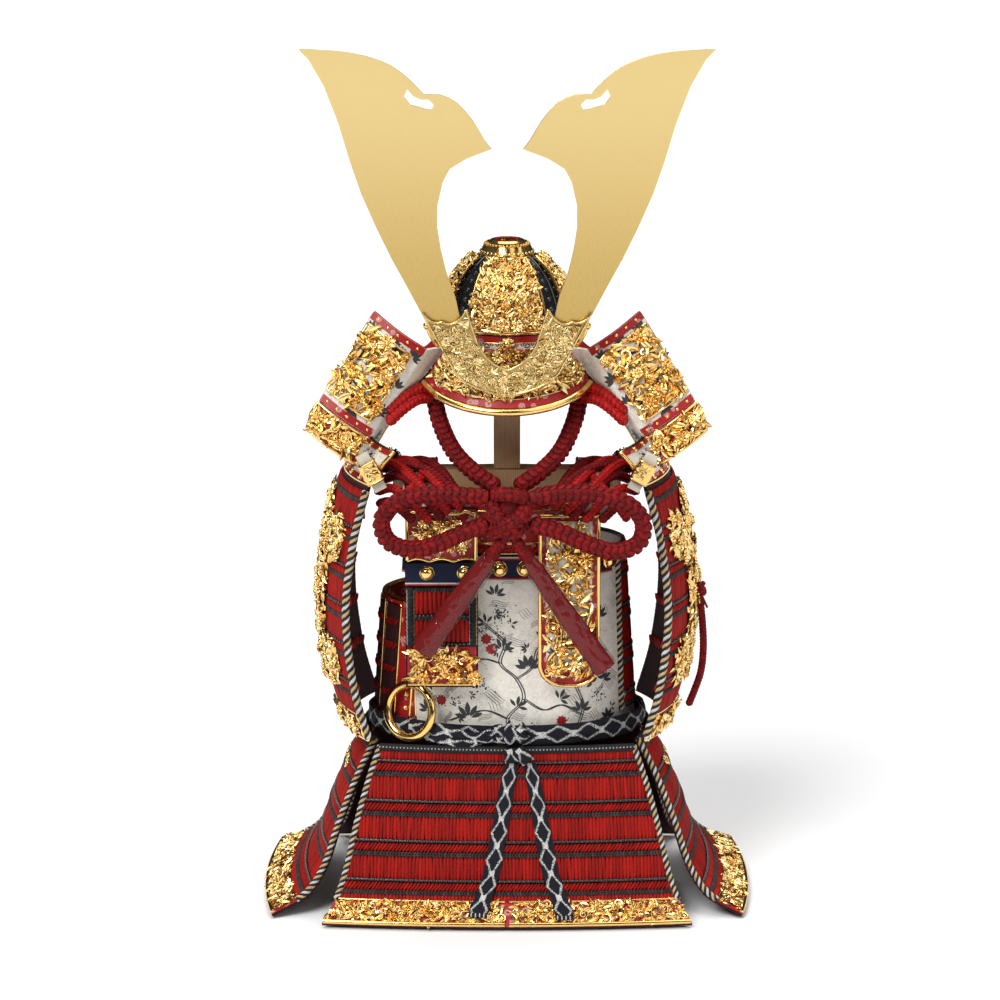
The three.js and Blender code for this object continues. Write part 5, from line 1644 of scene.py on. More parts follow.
def guard_surface(route, side):
    def point(u, v):
        p = route.at(v)
        across = 2 * u - 1
        return np.stack([side * (p[..., 0] - SODE_CURL * across ** 2), SODE_Y + SODE_HALF * across, p[..., 1]], -1)

    return Surface(point, (side, 0, 0))


def sode(word, side):
    surface = guard_surface(SODE_PROFILE, side)
    pile = Pile()
    pile.add(slab(surface.point, 36, 48, PLATE - 0.1), DARK)
    length = surface.length
    rows = [("slanted", 2.6, 7.2), ("cord", 7.2, 9.2)]
    s = 9.2
    while s + 19 < length - 16:
        rows += [("long", s, s + 11.6), ("beads", s + 11.6, s + 13.4), ("slanted", s + 13.4, s + 17.6),
                 ("cord", s + 17.6, s + 19.4)]
        s += 19.4
    rows.append(("long", s, length - HEM))
    laced_rows(pile, surface, rows, 500 + 30 * (side + 1), 1.9)
    face = PLATE / 2

    width = lambda s: surface.width_at(s) - 0.6
    leather = lambda u, v: line_on(surface, (u - 0.5) * width(mix(length - HEM, length - 0.4, v)),
                                   mix(length - HEM, length - 0.4, v), face + 0.3)
    pile.add(slab(leather, 24, 8, 0.6), RED_LEATHER)
    raised = Pile()
    relief(raised, surface, -SODE_HALF - 1, SODE_HALF + 1, length - 13, length - 1.8, 4.6, face + 0.8, 520 + side,
           lambda x, s: np.abs(x) < surface.width_at(s) / 2 - 1.0, height=1.2, gap=1.08)
    rim_line(pile, surface, edge_to_edge(surface, length - 0.9), 1.1, face + 0.4, SMOOTH_GOLD)
    rim_line(pile, surface, edge_to_edge(surface, length - HEM), 0.7, face + 0.7, SMOOTH_GOLD)
    ornament(raised, surface, 0, length * 0.45, 24, 50, face + 1.7, 540 + side)
    for x, s in ((-28, 30), (28, 30), (-27, 92), (27, 92)):
        ornament(raised, surface, x, s, 9, 12, face + 1.5, 550 + int(x) + side)
    raised.piece("shoulder_guard_relief_" + word, "guard_" + word)
    for edge in (-1, 1):
        edge_cord(pile, surface, edge, np.linspace(3, length - 2, 50), 0.2, face + 0.4, 1.9, 7.5)
    inside = Surface(surface.point, (-side, 0, 0))
    for x in (-24, 0, 24):
        path = line_on(inside, x, np.linspace(6, length - 18, 40), PLATE / 2 + 0.5)
        pile.add(sweep(path, 1.5, 8, 0.5, (side, 0, 0)), RED_LEATHER)
    for k in range(5):
        twill(pile, inside, 14 + 22 * k, 5.0, 2.4, PLATE / 2 + 0.5, 560 + k, RED_SILK)
    pile.piece("shoulder_guard_" + word, "guard_" + word, ["sode_" + word])


def ornament(pile, surface, x, s, half_width, half_height, lift, seed):
    """A pierced gold ornament that stands off the laced face."""
    inside = lambda a, b: ((a - x) / half_width) ** 2 + ((b - s) / half_height) ** 2 < 1
    relief(pile, surface, x - half_width, x + half_width, s - half_height, s + half_height, 4.6, lift, seed, inside,
           height=1.25)


def guard_cap(word, side):
    surface = guard_surface(CAP_ROUTE, side)
    pile = Pile()
    pile.add(slab(surface.point, 36, 16, PLATE - 0.2), LEATHER)
    face = PLATE / 2
    length = surface.length
    for offset in (face + 0.1, -face - 0.1):
        for index, x in enumerate(np.linspace(-36, 36, 9)):
            sprig(pile, surface, x, length * (0.4 + 0.2 * (index % 2)), 6.0, 0.8 * (-1) ** index, offset, 6)
            printed_dots(pile, surface, x + 4, length * 0.7, 1.6, 10, 0.35, offset, 580 + index)
    for s0, s1 in ((0.6, 3.2), (length - 3.2, length - 0.6)):
        for offset in (face + 0.12, -face - 0.12):
            half = float(surface.width_at(s0) - 1) / 2
            layer(pile, surface, (-half, half), (s0, s1), offset, 0.3, RED_LEATHER, (36, 2))
    corners = panel_outline(surface, 0.3, 0.3, length - 0.3, 8)
    rim_line(pile, surface, corners, 1.15, 0, SMOOTH_GOLD)
    for s in (2.0, length - 2.0):
        stud(pile, surface.frame(np.linspace(-34, 34, 7), s, face + 0.3), 1.3)
    pile.piece("guard_cap_" + word, "guard_" + word, ["sode_cap_" + word])


def clasp(word, side):
    """The flattened gold sleeve with rolled ends, and the ivory strap that runs through it."""
    pile = Pile()
    r, h = 4.3, 10.9
    tilt, heading = math.radians(1), math.radians(side * 28)
    cx, sx, cy, sy = math.cos(tilt), math.sin(tilt), math.cos(heading), math.sin(heading)
    rotation = np.array([[1, 0, 0], [0, cx, -sx], [0, sx, cx]]) @ np.array([[cy, 0, sy], [0, 1, 0], [-sy, 0, cy]])
    x, y, z = rotation.T
    origin = np.array([side * 62.5, -45.2, 217.5])
    corner = lambda angle: np.sign(angle) * np.abs(angle) ** 0.45

    def sleeve(u, v):
        angle = 2 * np.pi * u
        ends = 1 - 0.16 * (np.clip(1 - 6 * v, 0, 1) ** 2 + np.clip(6 * v - 5, 0, 1) ** 2)
        wide = (r + 0.15 * np.cos(6 * np.pi * v)) * ends
        local = wide[..., None] * (corner(np.cos(angle))[..., None] * x + 0.62 * corner(np.sin(angle))[..., None] * y)
        return origin + local + (h * v)[..., None] * z

    pile.add(slab(sleeve, 48, 30, 0.7, closed=True), SMOOTH_GOLD)
    for height in (0.5, h - 0.5):
        ring_line = [origin + height * z + 0.97 * r * (corner(math.cos(t)) * x + 0.62 * corner(math.sin(t)) * y)
                     for t in np.linspace(0, 2 * np.pi, 41)]
        pile.add(sweep(np.array(ring_line), 0.5, 8), SMOOTH_GOLD)
    front = Surface(lambda u, v: origin + (5 * (u - 0.5))[..., None] * x - 2.9 * y + (h * (1 - v))[..., None] * z,
                    (0, -1, 0))
    relief(pile, front, -2.2, 2.2, 2.2, h - 2.2, 2.4, 0.1, 610 + side, height=0.5)
    strap = lambda u, v: (origin + (6.2 * (u - 0.5))[..., None] * x + (mix(-4.5, h + 4.5, v))[..., None] * z
                          + (0.4 * np.sin(3 * v))[..., None] * y)
    pile.add(slab(strap, 8, 20, 1.3), IVORY)
    pile.piece("clasp_" + word, "guard_" + word, ["sode_clasp_" + word])


def lacing_bundle(word, side):
    """Fine red cords that tie the guard on, with loose ends that hang behind its front edge."""
    pile = Pile()
    y, z = -6, SHOULDER_Z + 1.5
    points = [(side * 51, y, z), (side * 61.8, y, z + 2.5), (side * 72.6, y, z + 5)]
    line = Spline(points).points(20)
    for k in range(7):
        a = 2 * np.pi * k / 7
        spread = np.array([0, math.cos(a), math.sin(a)]) * (1.7 if k else 0)
        pile.add(sweep(line + spread, 0.95, 6), BRIGHT_RED)
    for t in (0.25, 0.55, 0.8):
        c = line[int(t * 19)]
        a = np.linspace(0, 2 * np.pi, 21)
        loop = c + 2.7 * np.stack([0 * a, np.cos(a), np.sin(a)], 1)
        pile.add(sweep(loop, 0.55, 6), CRIMSON)
    pile.piece("guard_lacing_" + word, "guard_" + word, ["shoulder_lacing_" + word])


# ---------- helmet ----------


def dome_height(radius, rise=BOWL_RISE, across=BOWL_RADIUS):
    return BOWL_SHOULDER + rise * np.sqrt(np.clip(1 - (np.asarray(radius) / across) ** 2, 0, 1))


def dome_surface(centre, half, radius, rise, top):
    def point(u, v):
        lift = mix(top, 0.0, v)
        angle = np.radians(centre + half * (2 * u - 1))
        r = radius * np.cos(lift)
        return np.stack([r * np.sin(angle), -r * np.cos(angle), BOWL_SHOULDER + rise * np.sin(lift)], -1) + HELMET

    return Surface(point, (math.sin(math.radians(centre)), -math.cos(math.radians(centre)), 0.6))


def bowl():
    """The black lacquered bowl: ribbed plates with rows of round rivets."""
    pile = Pile()
    profile = [(r, float(dome_height(r))) for r in np.linspace(0.001, BOWL_RADIUS, 26)]
    wall = 1.5
    inner = [(r, BOWL_SHOULDER + (BOWL_RISE - wall) * math.sqrt(max(0, 1 - (r / (BOWL_RADIUS - wall)) ** 2)))
             for r in np.linspace(BOWL_RADIUS - wall, 0.001, 14)]
    solid = turned(profile + [(BOWL_RADIUS, BOWL_RIM), (BOWL_RADIUS - wall, BOWL_RIM)] + inner, 96)
    pile.add(at(solid, HELMET), BLACK)
    lift = np.linspace(0.0, 1.12, 22)
    for k in range(24):
        angle = math.radians(15 * k + 7.5)
        r = (BOWL_RADIUS + 0.15) * np.cos(lift)
        path = np.stack([r * math.sin(angle), -r * math.cos(angle),
                         BOWL_SHOULDER + (BOWL_RISE + 0.15) * np.sin(lift)], 1)
        pile.add(sweep(path + HELMET, 0.5, 6), BLACK)
    for k in range(24):
        angle = math.radians(15 * k)
        t = np.linspace(0.02, 1.08, 9)
        out = np.array([math.sin(angle), -math.cos(angle), 0])
        p = np.cos(t)[:, None] * BOWL_RADIUS * out + np.stack([0 * t, 0 * t, BOWL_SHOULDER + BOWL_RISE * np.sin(t)], 1)
        normal = unit(np.cos(t)[:, None] * out / BOWL_RADIUS + np.stack([0 * t, 0 * t, np.sin(t) / BOWL_RISE], 1))
        a = np.broadcast_to(np.array([math.cos(angle), math.sin(angle), 0]), p.shape)
        size = np.interp(t, [0, 1.1], [1.35, 0.75])[:, None] * np.ones((1, 3))
        pile.scatter(BEAD, (p + HELMET, a, np.cross(normal, a), normal), size, BLACK)
    pile.piece("lacquered_bowl", "helmet", ["helmet_bowl"])
    NODES["helmet_lining"].data.materials.clear()
    NODES["helmet_lining"].data.materials.append(LINEN)


def bowl_plates():
    radius, rise = BOWL_RADIUS + 2 * GAP + METAL / 2, BOWL_RISE + 2 * GAP + METAL / 2
    top = math.acos(15.1 / radius)
    for word, centre, half in (("front", 0, 35), ("left", -78, 20), ("right", 78, 20)):
        surface = dome_surface(centre, half, radius, rise, top)
        pile = Pile()
        pile.add(slab(surface.point, 24, 24, METAL - 0.1), GOLD)
        length = surface.length
        face = METAL / 2
        inside = lambda x, s: np.abs(x) < surface.width_at(s) / 2 - 1.2
        wide = float(surface.width.max()) / 2
        big = 4.2 if word == "front" else 3.4
        relief(pile, surface, -wide, wide, 1.0, length - 1.8, big, face + 0.1, 620 + int(centre), inside, height=1.0)
        if word == "front":
            for x, s, size in ((-6.5, length - 11, 3.6), (6.0, length - 11, 3.2), (0.5, length - 17, 2.6),
                               (-11, length - 8, 2.4), (11, length - 8.4, 2.4), (3, length - 25, 2.6), (-4, length - 26, 2.2)):
                frames = spot(surface, x, s, face + 1.2)
                pile.scatter(ROSE, frames, (size * 1.2, size * 1.2, size * 0.9), GOLD, spin=np.array([x]))
                pile.scatter(BEAD, frames, (size * 0.42, size * 0.42, size * 0.55), SMOOTH_GOLD)
        cusp = [(x, length - 0.8 + 0.9 * abs(math.cos(math.pi * 1.0 * x / wide)) - 0.9)
                for x in np.linspace(-wide + 0.8, wide - 0.8, 25)]
        rim_line(pile, surface, cusp, 0.95, face + 0.5, SMOOTH_GOLD, spacing=0.8)
        for side in (-1, 1):
            s = np.linspace(0.8, length - 0.8, 26)
            x = side * (surface.width_at(s) / 2 - 0.5)
            pile.add(sweep(line_on(surface, x, s, face + 0.3), 0.62, 8), SMOOTH_GOLD)
        pile.piece("bowl_relief_" + word, "helmet", ["bowl_plate_" + word])


def crown():
    """The stepped ring round the bowl's crown opening, edged in red."""
    inner, outer, top = 5, 13.5, float(dome_height(0)) + 4
    seat = lambda r: float(dome_height(r)) + GAP + 0.1
    middle = (inner + outer) / 2
    profile = [(inner, seat(inner)), (middle, seat(middle)), (outer, seat(outer)), (outer, seat(outer) + 1.0),
               (outer - 0.6, seat(outer) + 1.7), (middle + 2.6, seat(middle) + 2.0), (middle + 2.2, seat(middle) + 2.9),
               (middle + 0.6, top - 2.0), (middle + 0.4, top - 1.1), (middle - 0.8, top - 0.9), (middle - 1.4, top - 0.2),
               (inner + 1.4, top), (inner + 0.4, top - 0.3), (inner, top - 1.0)]
    pile = Pile()
    pile.add(at(turned(profile, 80), HELMET), SMOOTH_GOLD)
    for radius, z, size, count in ((outer - 0.9, seat(outer) + 1.5, 1.0, 34), (middle + 1.5, top - 1.8, 0.6, 36)):
        a = circle(count)
        out = np.stack([np.cos(a), np.sin(a), 0 * a], 1)
        p = out * radius + np.array([0, 0, z]) + HELMET
        normal = unit(out * 0.6 + np.array([0, 0, 1.0]))
        side = np.stack([-np.sin(a), np.cos(a), 0 * a], 1)
        pile.scatter(BEAD, (p, side, np.cross(normal, side), normal), (size, size, size * 0.8), GOLD)
    a = circle(22)
    out = np.stack([np.cos(a), np.sin(a), 0 * a], 1)
    p = out * (outer - 3.6) + np.array([0, 0, seat(outer - 3.6) + 1.9]) + HELMET
    normal = unit(out * 0.5 + np.array([0, 0, 1.0]))
    side = np.stack([-np.sin(a), np.cos(a), 0 * a], 1)
    pile.scatter(LEAF, (p, np.cross(side, normal), side, normal), (2.2, 2.0, 1.8), GOLD)
    b = np.linspace(0, 2 * np.pi, 61)
    edge = np.stack([(inner + 0.3) * np.cos(b), (inner + 0.3) * np.sin(b), np.full(61, top - 0.6)], 1) + HELMET
    pile.add(sweep(edge, 0.55, 8), BRIGHT_RED)
    pile.piece("crown_ring_finished", "helmet", ["crown_ring"])


def brow():
    radius = BOWL_RADIUS + GAP + METAL / 2

    def point(u, v):
        a = np.radians(mix(-57, 57, u))
        z = mix(BOWL_SHOULDER - 0.8, BOWL_SHOULDER - 8, v)
        return np.stack([radius * np.sin(a), -radius * np.cos(a), z + 0 * a], -1) + HELMET

    surface = Surface(point, (0, -1, 0))
    pile = Pile()
    pile.add(slab(point, 48, 4, METAL - 0.1), RED_LEATHER)
    layer(pile, surface, (-30, 30), (3.4, 6.8), METAL / 2 + 0.05, 0.25, LEATHER, (40, 2))
    for x in np.linspace(-27, 27, 15):
        sprig(pile, surface, x, 5.2, 2.6, 0.5 * math.sin(x), METAL / 2 + 0.15, 4)
    rim_line(pile, surface, [(-30, 3.3), (30, 3.3)], 0.32, METAL / 2 + 0.1, SMOOTH_GOLD)
    pile.piece("brow_band_finished", "helmet", ["brow_band"])


def visor_point(angle, share, beyond=0.0):
    angle = np.radians(angle)
    root = BOWL_RADIUS + 2 * GAP + METAL + METAL / 2
    rim_radius = 41 + 10 * np.cos(angle)
    root_z = BOWL_RIM + 6
    rim_z = root_z - 25 + 19 * (1 - np.cos(angle))
    t = share + beyond / np.hypot(rim_radius - root, rim_z - root_z)
    r = mix(root, rim_radius, t)
    return np.stack([r * np.sin(angle), -r * np.cos(angle), mix(root_z, rim_z, t)], -1) + HELMET


def visor():
    surface = Surface(lambda u, v: visor_point(mix(-57, 57, u), v), (0, -1, 0.6))
    pile = Pile()
    pile.add(slab(surface.point, 60, 12, METAL - 0.1), RED_LEATHER)
    face = METAL / 2
    length = float(surface.length)

    def inside(x, s):
        return (s > 1.2) & (s < length - 4.6) & (np.abs(x) < surface.width_at(s) / 2 - 4.0)

    relief(pile, surface, -48, 48, 1.0, length - 4.2, 4.6, face + 0.4, 700, inside, PALE_GOLD, 1.2, 1.05)
    for x in (-30, -22, -13, 0, 13, 22, 30):
        frames = spot(surface, x, length * 0.48, face + 1.8)
        pile.scatter(ROSE, frames, (3.6, 3.6, 2.6), PALE_GOLD, spin=np.array([0.3 * x]))
    edge = [(x, length - 4.4) for x in np.linspace(-44, 44, 50)]
    rim_line(pile, surface, edge, 0.32, face + 0.3, PALE_GOLD)
    pile.piece("visor_finished", "helmet", ["visor"])
    rolled = Pile()
    angles = np.linspace(-57, 57, 90)
    rolled.add(sweep(visor_point(angles, 1.0, 1.9 + GAP - 0.15), 1.9, 14), SMOOTH_GOLD)
    rolled.piece("visor_rim_finished", "helmet", ["visor_rim"])


def neck_guard():
    for tier, word in enumerate(("upper", "middle", "lower")):
        inner = 32.3 + tier * 10
        top = BOWL_RIM + 4 - tier * 11.7

        def point(u, v, inner=inner, top=top):
            a = np.radians(mix(64, 296, u))
            r = inner + 11 * v
            return np.stack([r * np.sin(a), -r * np.cos(a), top - 10 * v + 0 * a], -1) + HELMET

        surface = Surface(point, (0, 1, 0.7))
        pile = Pile()
        pile.add(slab(point, 120, 3, PLATE - 0.1), DARK)
        length = float(surface.length)
        strands(pile, surface, 0.8, length - 3.6, 2.0, PLATE / 2 + 0.3, 720 + tier)
        plait(pile, surface, length - 3.2, 1.7, 1.5, PLATE / 2 + 0.8, 730 + tier)
        rim_line(pile, surface, edge_to_edge(surface, length - 0.7), 0.95, 0.4, SMOOTH_GOLD)
        for side in (-1, 1):
            half = lambda s: float(surface.width_at(s)) / 2 - 0.4
            rim_line(pile, surface, [(side * half(0.5), 0.5), (side * half(length - 0.5), length - 0.5)], 0.9, 0.3,
                     SMOOTH_GOLD)
        inside = Surface(point, (0, -1, -0.7))
        twill(pile, inside, length * 0.5, 4.0, 2.6, PLATE / 2 + 0.2, 740 + tier, RED_SILK, thick=0.5)
        pile.piece("neck_guard_" + word + "_laced", "helmet", ["neck_guard_" + word])


TURNBACK = {
    "root": ((29.6, -16, 14), (56.6, -29.6, -18)),
    "fold": ((39, -28, 15), (66, -40, -25)),
    "outer": ((64, -20, 32), (90, -38, -8)),
}


def turnback_point(side):
    root, fold, outer = (np.array(TURNBACK[key], float) for key in ("root", "fold", "outer"))
    edge = lambda pair, v: mix(pair[0], pair[1], v[..., None])

    def point(u, v):
        u, v = np.broadcast_arrays(np.asarray(u, float), np.asarray(v, float))
        near = mix(edge(root, v), edge(fold, v), (u / 0.2)[..., None])
        share = (u - 0.2) / 0.8
        far = mix(edge(fold, v), edge(outer, v), share[..., None])
        far[..., 1] -= 4.5 * np.sin(np.pi * np.clip(share, 0, 1.02))
        p = np.where((u < 0.2)[..., None], near, far)
        return p * np.array([side, 1, 1]) + HELMET

    return point


def turnback(word, side):
    """The turned-back panel: printed leather piped in red, with a raised pierced plate and studs."""
    whole = turnback_point(side)
    pile = Pile()
    pile.add(slab(whole, 50, 20, PLATE - 0.1), LEATHER)
    front = Surface(lambda u, v: whole(0.2 + 0.8 * u, v), (0, -1, 0))
    face = PLATE / 2
    length = float(front.length)
    for s0, s1 in ((0.3, 3.8), (length - 3.8, length - 0.3)):
        half = float(front.width_at(s0) - 0.6) / 2
        layer(pile, front, (-half, half), (s0, s1), face + 0.15, 0.4, RED_LEATHER, (24, 3))
    for s in (2.0, length - 2.0):
        stud(pile, front.frame(np.linspace(-12, 12, 5), s, face + 0.3), 0.8)
    rim_line(pile, front, edge_to_edge(front, 0.2), 0.8, 0, BRIGHT_RED)
    rim_line(pile, front, edge_to_edge(front, length - 0.2), 0.8, 0, BRIGHT_RED)
    for x, s, size, angle in ((-12, 8, 5, 0.6), (-13, 20, 5.4, -0.4), (-13, 33, 5.2, 0.5), (12, 7, 5, -0.6),
                              (13, 24, 5.2, 0.4), (12, 38, 5, -0.5), (0, 6.2, 4.6, 0.1), (1, length - 6.4, 4.8, 2.8),
                              (-8, length - 6.6, 4.6, 0.4), (8, length - 6.8, 4.6, -0.2), (6, 9, 4.4, 1.0),
                              (-6, 9.6, 4.2, -0.8)):
        sprig(pile, front, x * side, min(s, length - 5), size, angle, face + 0.02, 6)
    reach = float(front.width_at(length / 2)) / 2 - 0.9
    left, right, high, low = -10.5, reach, 6.4, length - 6.4
    layer(pile, front, (left + 0.6, right - 0.6), (high + 0.6, low - 0.6), face + 0.4, 0.6, LEATHER, (12, 16))
    for k in range(12):
        sprig(pile, front, mix(left, right, (0.25, 0.7, 0.5)[k % 3]), mix(high + 3, low - 3, k / 11), 4.4,
              1.1 * math.sin(1.9 * k), face + 0.72, 6)
    relief(pile, front, left, right, high, low, 5.4, face + 1.2, 800 + side, height=1.3, gap=1.06)
    rim_line(pile, front, box(left, right, high, low), 0.7, face + 0.9, GOLD)
    rim_line(pile, front, panel_outline(front, 0.1, 0.1, length - 0.1, 6), 0.62, 0, BLACK)
    pile.piece("turned_back_panel_" + word, "helmet", ["fukikaeshi_" + word])


def turnback_band(word, side):
    fold, outer = (np.array(TURNBACK[key], float) for key in ("fold", "outer"))
    down = unit(mix(fold[1], outer[1], 0.5) - mix(fold[0], outer[0], 0.5))

    def point(u, v):
        u, v = np.broadcast_arrays(np.asarray(u, float), np.asarray(v, float))
        t = mix(0.05, 1.04, u)
        p = mix(fold[1], outer[1], t[..., None])
        p[..., 1] -= 4.5 * np.sin(np.pi * np.clip(t, 0, 1))
        p = p + down * (0.6 + GAP + 17 * v)[..., None]
        p[..., 0] -= 4 * v * v
        return p * np.array([side, 1, 1]) + HELMET

    surface = Surface(point, (0, -1, 0))
    pile = Pile()
    pile.add(slab(point, 30, 16, METAL - 0.1), RED_LEATHER)
    face = METAL / 2
    length = float(surface.length)
    half = float(surface.width_at(length / 2)) / 2
    relief(pile, surface, -half + 1.2, half - 1.2, 1.4, length - 1.4, 4.6, face + 0.5, 820 + side, height=1.2, gap=1.1)
    rim_line(pile, surface, box(0.6 - half, half - 0.6, 0.6, length - 0.6), 0.8, face, SMOOTH_GOLD)
    pile.piece("pierced_band_" + word, "helmet", ["fukikaeshi_band_" + word])


def horn(word):
    return soft_edges("kuwagata_" + word, "horn_" + word, BRASS, 0.28, flat=True)


HOLDER_HALF = [("line", (0, -3)), ("curve", (22, 1), (26, 11)), ("line", (40, 37)), ("curve", (36, 31), (31, 33)),
               ("curve", (25, 29), (19.5, 39)), ("line", (14, 22)), ("curve", (9, 12), (0, 9.5))]


def holder_outline(steps=8):
    """Half outline of the crest holder, in x and z, from its foot round to its neck."""
    points = [np.array((0.0, -3.0))]
    for kind, *corners in HOLDER_HALF[1:]:
        start = points[-1]
        end = np.array(corners[-1], float)
        for t in np.linspace(0, 1, steps + 1)[1:]:
            if kind == "line":
                points.append(mix(start, end, t))
            else:
                bend = np.array(corners[0], float)
                points.append((1 - t) ** 2 * start + 2 * t * (1 - t) * bend + t * t * end)
    return np.array(points)


def crest_holder():
    """The V-shaped engraved plate that holds the horns."""
    right = holder_outline()
    outline = np.concatenate([right, (right * [-1, 1])[::-1][1:-1]])
    plane = -49.0
    made = Pile()
    flat = Surface(lambda u, v: np.stack([80 * (u - 0.5), plane - 1.0 + 0 * u, 40 - 44 * v + 0 * u], -1) + HELMET,
                   (0, -1, 0))

    def inside(x, s):
        z = 40 - s
        hit = np.zeros(np.shape(x), bool)
        for (xa, za), (xb, zb) in zip(outline, np.roll(outline, -1, 0)):
            crosses = (za > z) != (zb > z)
            reach = (xb - xa) * (z - za) / np.where(abs(zb - za) < 1e-9, 1e-9, zb - za) + xa
            hit ^= crosses & (x < reach)
        return hit

    def well_inside(x, s):
        near = np.min([np.hypot(x - px, (40 - s) - pz) for px, pz in outline], axis=0)
        return inside(x, s) & (near > 1.6)

    relief(made, flat, -40, 40, 0.5, 43.5, 3.0, 0.05, 850, well_inside, PALE_GOLD, 0.55)
    loop = np.concatenate([outline, outline[:1]])
    path = np.stack([loop[:, 0], np.full(len(loop), plane - 1.0), loop[:, 1]], 1) + HELMET
    for first in range(0, 41, 8):
        for flip in (1, -1):
            run = path[first:first + 10] * [flip, 1, 1]
            made.add(sweep(Spline(run).points(18), 0.62, 8), PALE_GOLD)
    for x, z in ((-22, 17.5), (22, 17.5)):
        frames = spot(flat, x, 40.0 - z, 0.3)
        made.scatter(DAISY, frames, (3.0, 3.0, 1.6), PALE_GOLD)
        stud(made, frames, 1.5, PALE_GOLD)
    soft_edges("crest_holder", "helmet", PALE_GOLD, 0.3)
    made.piece("crest_holder_relief", "helmet")
    bead = Pile()
    middle = facing_front(np.array([0, -BOWL_RADIUS - 2.6, BOWL_SHOULDER - 4.4]) + HELMET)
    stud(bead, middle, 2.4)
    bead.scatter(DAISY, middle, (4.0, 4.0, 1.4), GOLD)
    for side in (-1, 1):
        root = np.array([side * 38.5, -30.0, 27.0]) + HELMET
        line = Spline([root + np.array([-side * 5.5, 4, -11]), root + np.array([-side * 1.5, 1, -5]), root])
        bead.add(sweep(line.points(12),
                       0.9, 8), SMOOTH_GOLD)
        stud(bead, facing_front(root), 1.7)
    bead.piece("helmet_bosses", "helmet")


def guard_tie():
    """The gold eye on the outer face of the guard, and the crimson cord that is knotted to it and hangs free."""
    word = "right"
    eye = Pile()
    centre = np.array([94.2, -6.0, 160.0])
    eye.add(moved(closed_ring(3.4, 0.75), centre, (0.35, 0.94, 0), (0, 0, 1.0), (0.94, -0.35, 0)), SMOOTH_GOLD)
    plate = tuple(np.array([axis], float) for axis in ((92, -6, 165), (0, 1, 0), (0, 0, 1), (1, 0, 0)))
    eye.scatter(DAISY, plate, (4.2, 4.2, 1.8), GOLD)
    stud(eye, plate, 1.8)
    eye.piece("guard_eye_" + word, "guard_" + word)
    hanging = Pile()
    route = [(94.4, -6, 156), (95.2, -6.5, 148), (96.4, -8, 136), (96.8, -10, 124), (95.6, -12, 113), (92.5, -14, 104),
             (89.5, -16, 97)]
    braid(hanging, [np.array(p, float) for p in route], 3.6, 1.7, (CRIMSON,), 6, seed=640)
    tied = Pile()
    knot_at = np.array([94.5, -6.2, 153.5])
    for turn_route in ([(-2.4, 1, 3), (1.6, -2.4, 1), (2.4, 1, -2.6)], [(2.4, 1.2, 3), (-1.4, -2.6, 0), (-2.2, 1.2, -3)],
                       [(-2.6, -0.6, 0), (0.4, -2.8, 0.4), (2.7, -0.4, -0.2)]):
        braid(tied, shifted(turn_route, knot_at), 3.2, 1.7, (CRIMSON,), 6, seed=641)
    for a, reach in ((0.4, 9), (1.2, 7), (2.0, 8)):
        way = np.array([0.5 * math.cos(a), -0.4 * math.sin(a), -1.0])
        tied.add(sweep(np.array([knot_at, knot_at + way * reach * 0.5, knot_at + way * reach]), 0.6, 6), CRIMSON)
    tied.piece("guard_knot_" + word, "guard_" + word)
    made = hanging.piece("guard_cord_" + word, "guard_" + word)


def helmet_ties(word, side):
    """Bright red cords that come out between the visor's end and the turned-back panel."""
    pile = Pile()
    for index, (dy, dz) in enumerate(((0.0, 0.0), (-2.6, -4.6))):
        route = [(37, -14 + dy, 257 + dz), (43, -20 + dy, 257.5 + dz),
                 (50, -25.5 + dy, 254 + dz), (57, -29 + dy, 248 + dz)]
        braid(pile, [np.array((side * x, y, z), float) for x, y, z in route], 5.4, 2.4, (BRIGHT_RED,), 6, seed=650 + index)
    pile.piece("helmet_ties_" + word, "helmet")


for guard_word, guard_side in SIDES:
    sode(guard_word, guard_side)
    guard_cap(guard_word, guard_side)
    clasp(guard_word, guard_side)
    lacing_bundle(guard_word, guard_side)
guard_tie()
bowl()
bowl_plates()
crown()
brow()
visor()
neck_guard()
for panel_word, panel_side in SIDES:
    turnback(panel_word, panel_side)
    turnback_band(panel_word, panel_side)
    horn(panel_word)
    helmet_ties(panel_word, panel_side)
crest_holder()


# ---------- floor and light ----------


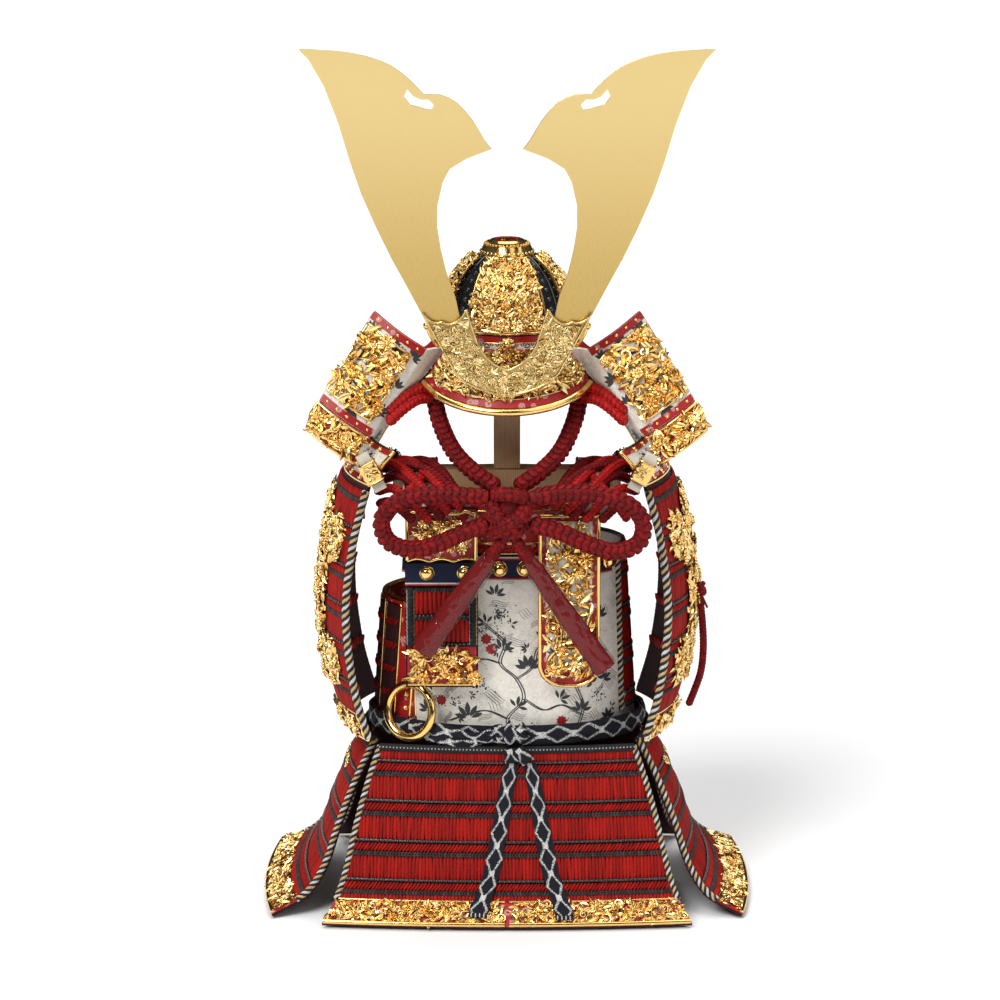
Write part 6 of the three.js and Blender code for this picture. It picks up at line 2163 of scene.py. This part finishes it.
def studio():
    plain = Shade("studio_floor", roughness=0.75)
    cloud = plain.noise(plain.place((0.01, 0.01, 0.01)), 1.0, 2)
    plain.color(plain.blend(cloud, (0.86, 0.86, 0.86), (0.90, 0.90, 0.90)))
    bpy.ops.mesh.primitive_plane_add(size=30, location=(0, 0, -0.0002))
    floor = bpy.context.object
    floor.name = "studio_floor"
    floor.data.materials.append(plain.material)
    world = bpy.data.worlds.new("studio")
    bpy.context.scene.world = world
    world.use_nodes = True
    nodes, links = world.node_tree.nodes, world.node_tree.links
    where = nodes.new("ShaderNodeTexCoord")
    split = nodes.new("ShaderNodeSeparateXYZ")
    links.new(where.outputs["Generated"], split.inputs[0])
    ramp = nodes.new("ShaderNodeMapRange")
    ramp.interpolation_type = "SMOOTHSTEP"
    for socket, value in (("From Min", 0.02), ("From Max", 0.75), ("To Min", 0.22), ("To Max", 1.05)):
        ramp.inputs[socket].default_value = value
    links.new(split.outputs[2], ramp.inputs["Value"])
    box = nodes.new("ShaderNodeMapRange")
    box.interpolation_type = "SMOOTHSTEP"
    for socket, value in (("From Min", 0.62), ("From Max", 0.80), ("To Min", 0.0), ("To Max", 0.9)):
        box.inputs[socket].default_value = value
    wide = nodes.new("ShaderNodeMath")
    wide.operation = "ABSOLUTE"
    links.new(split.outputs[0], wide.inputs[0])
    links.new(wide.outputs[0], box.inputs["Value"])
    total = nodes.new("ShaderNodeMath")
    links.new(ramp.outputs[0], total.inputs[0])
    links.new(box.outputs[0], total.inputs[1])
    links.new(total.outputs[0], nodes["Background"].inputs[1])
    for name, place, strength, angle in (
        ("key", (-0.8, -1.2, 1.5), 2.5, 30),
        ("fill", (1.2, -1.1, 1.1), 0.7, 50),
        ("top", (0.1, 0.3, 2.0), 2.1, 60),
    ):
        light = bpy.data.lights.new(name, "SUN")
        light.energy = strength
        light.angle = math.radians(angle)
        made = bpy.data.objects.new(name, light)
        made.location = place
        made.rotation_euler = Vector(-np.array(place)).to_track_quat("-Z", "Y").to_euler()
        bpy.context.scene.collection.objects.link(made)


studio()
bpy.context.scene.view_settings.view_transform = "Standard"
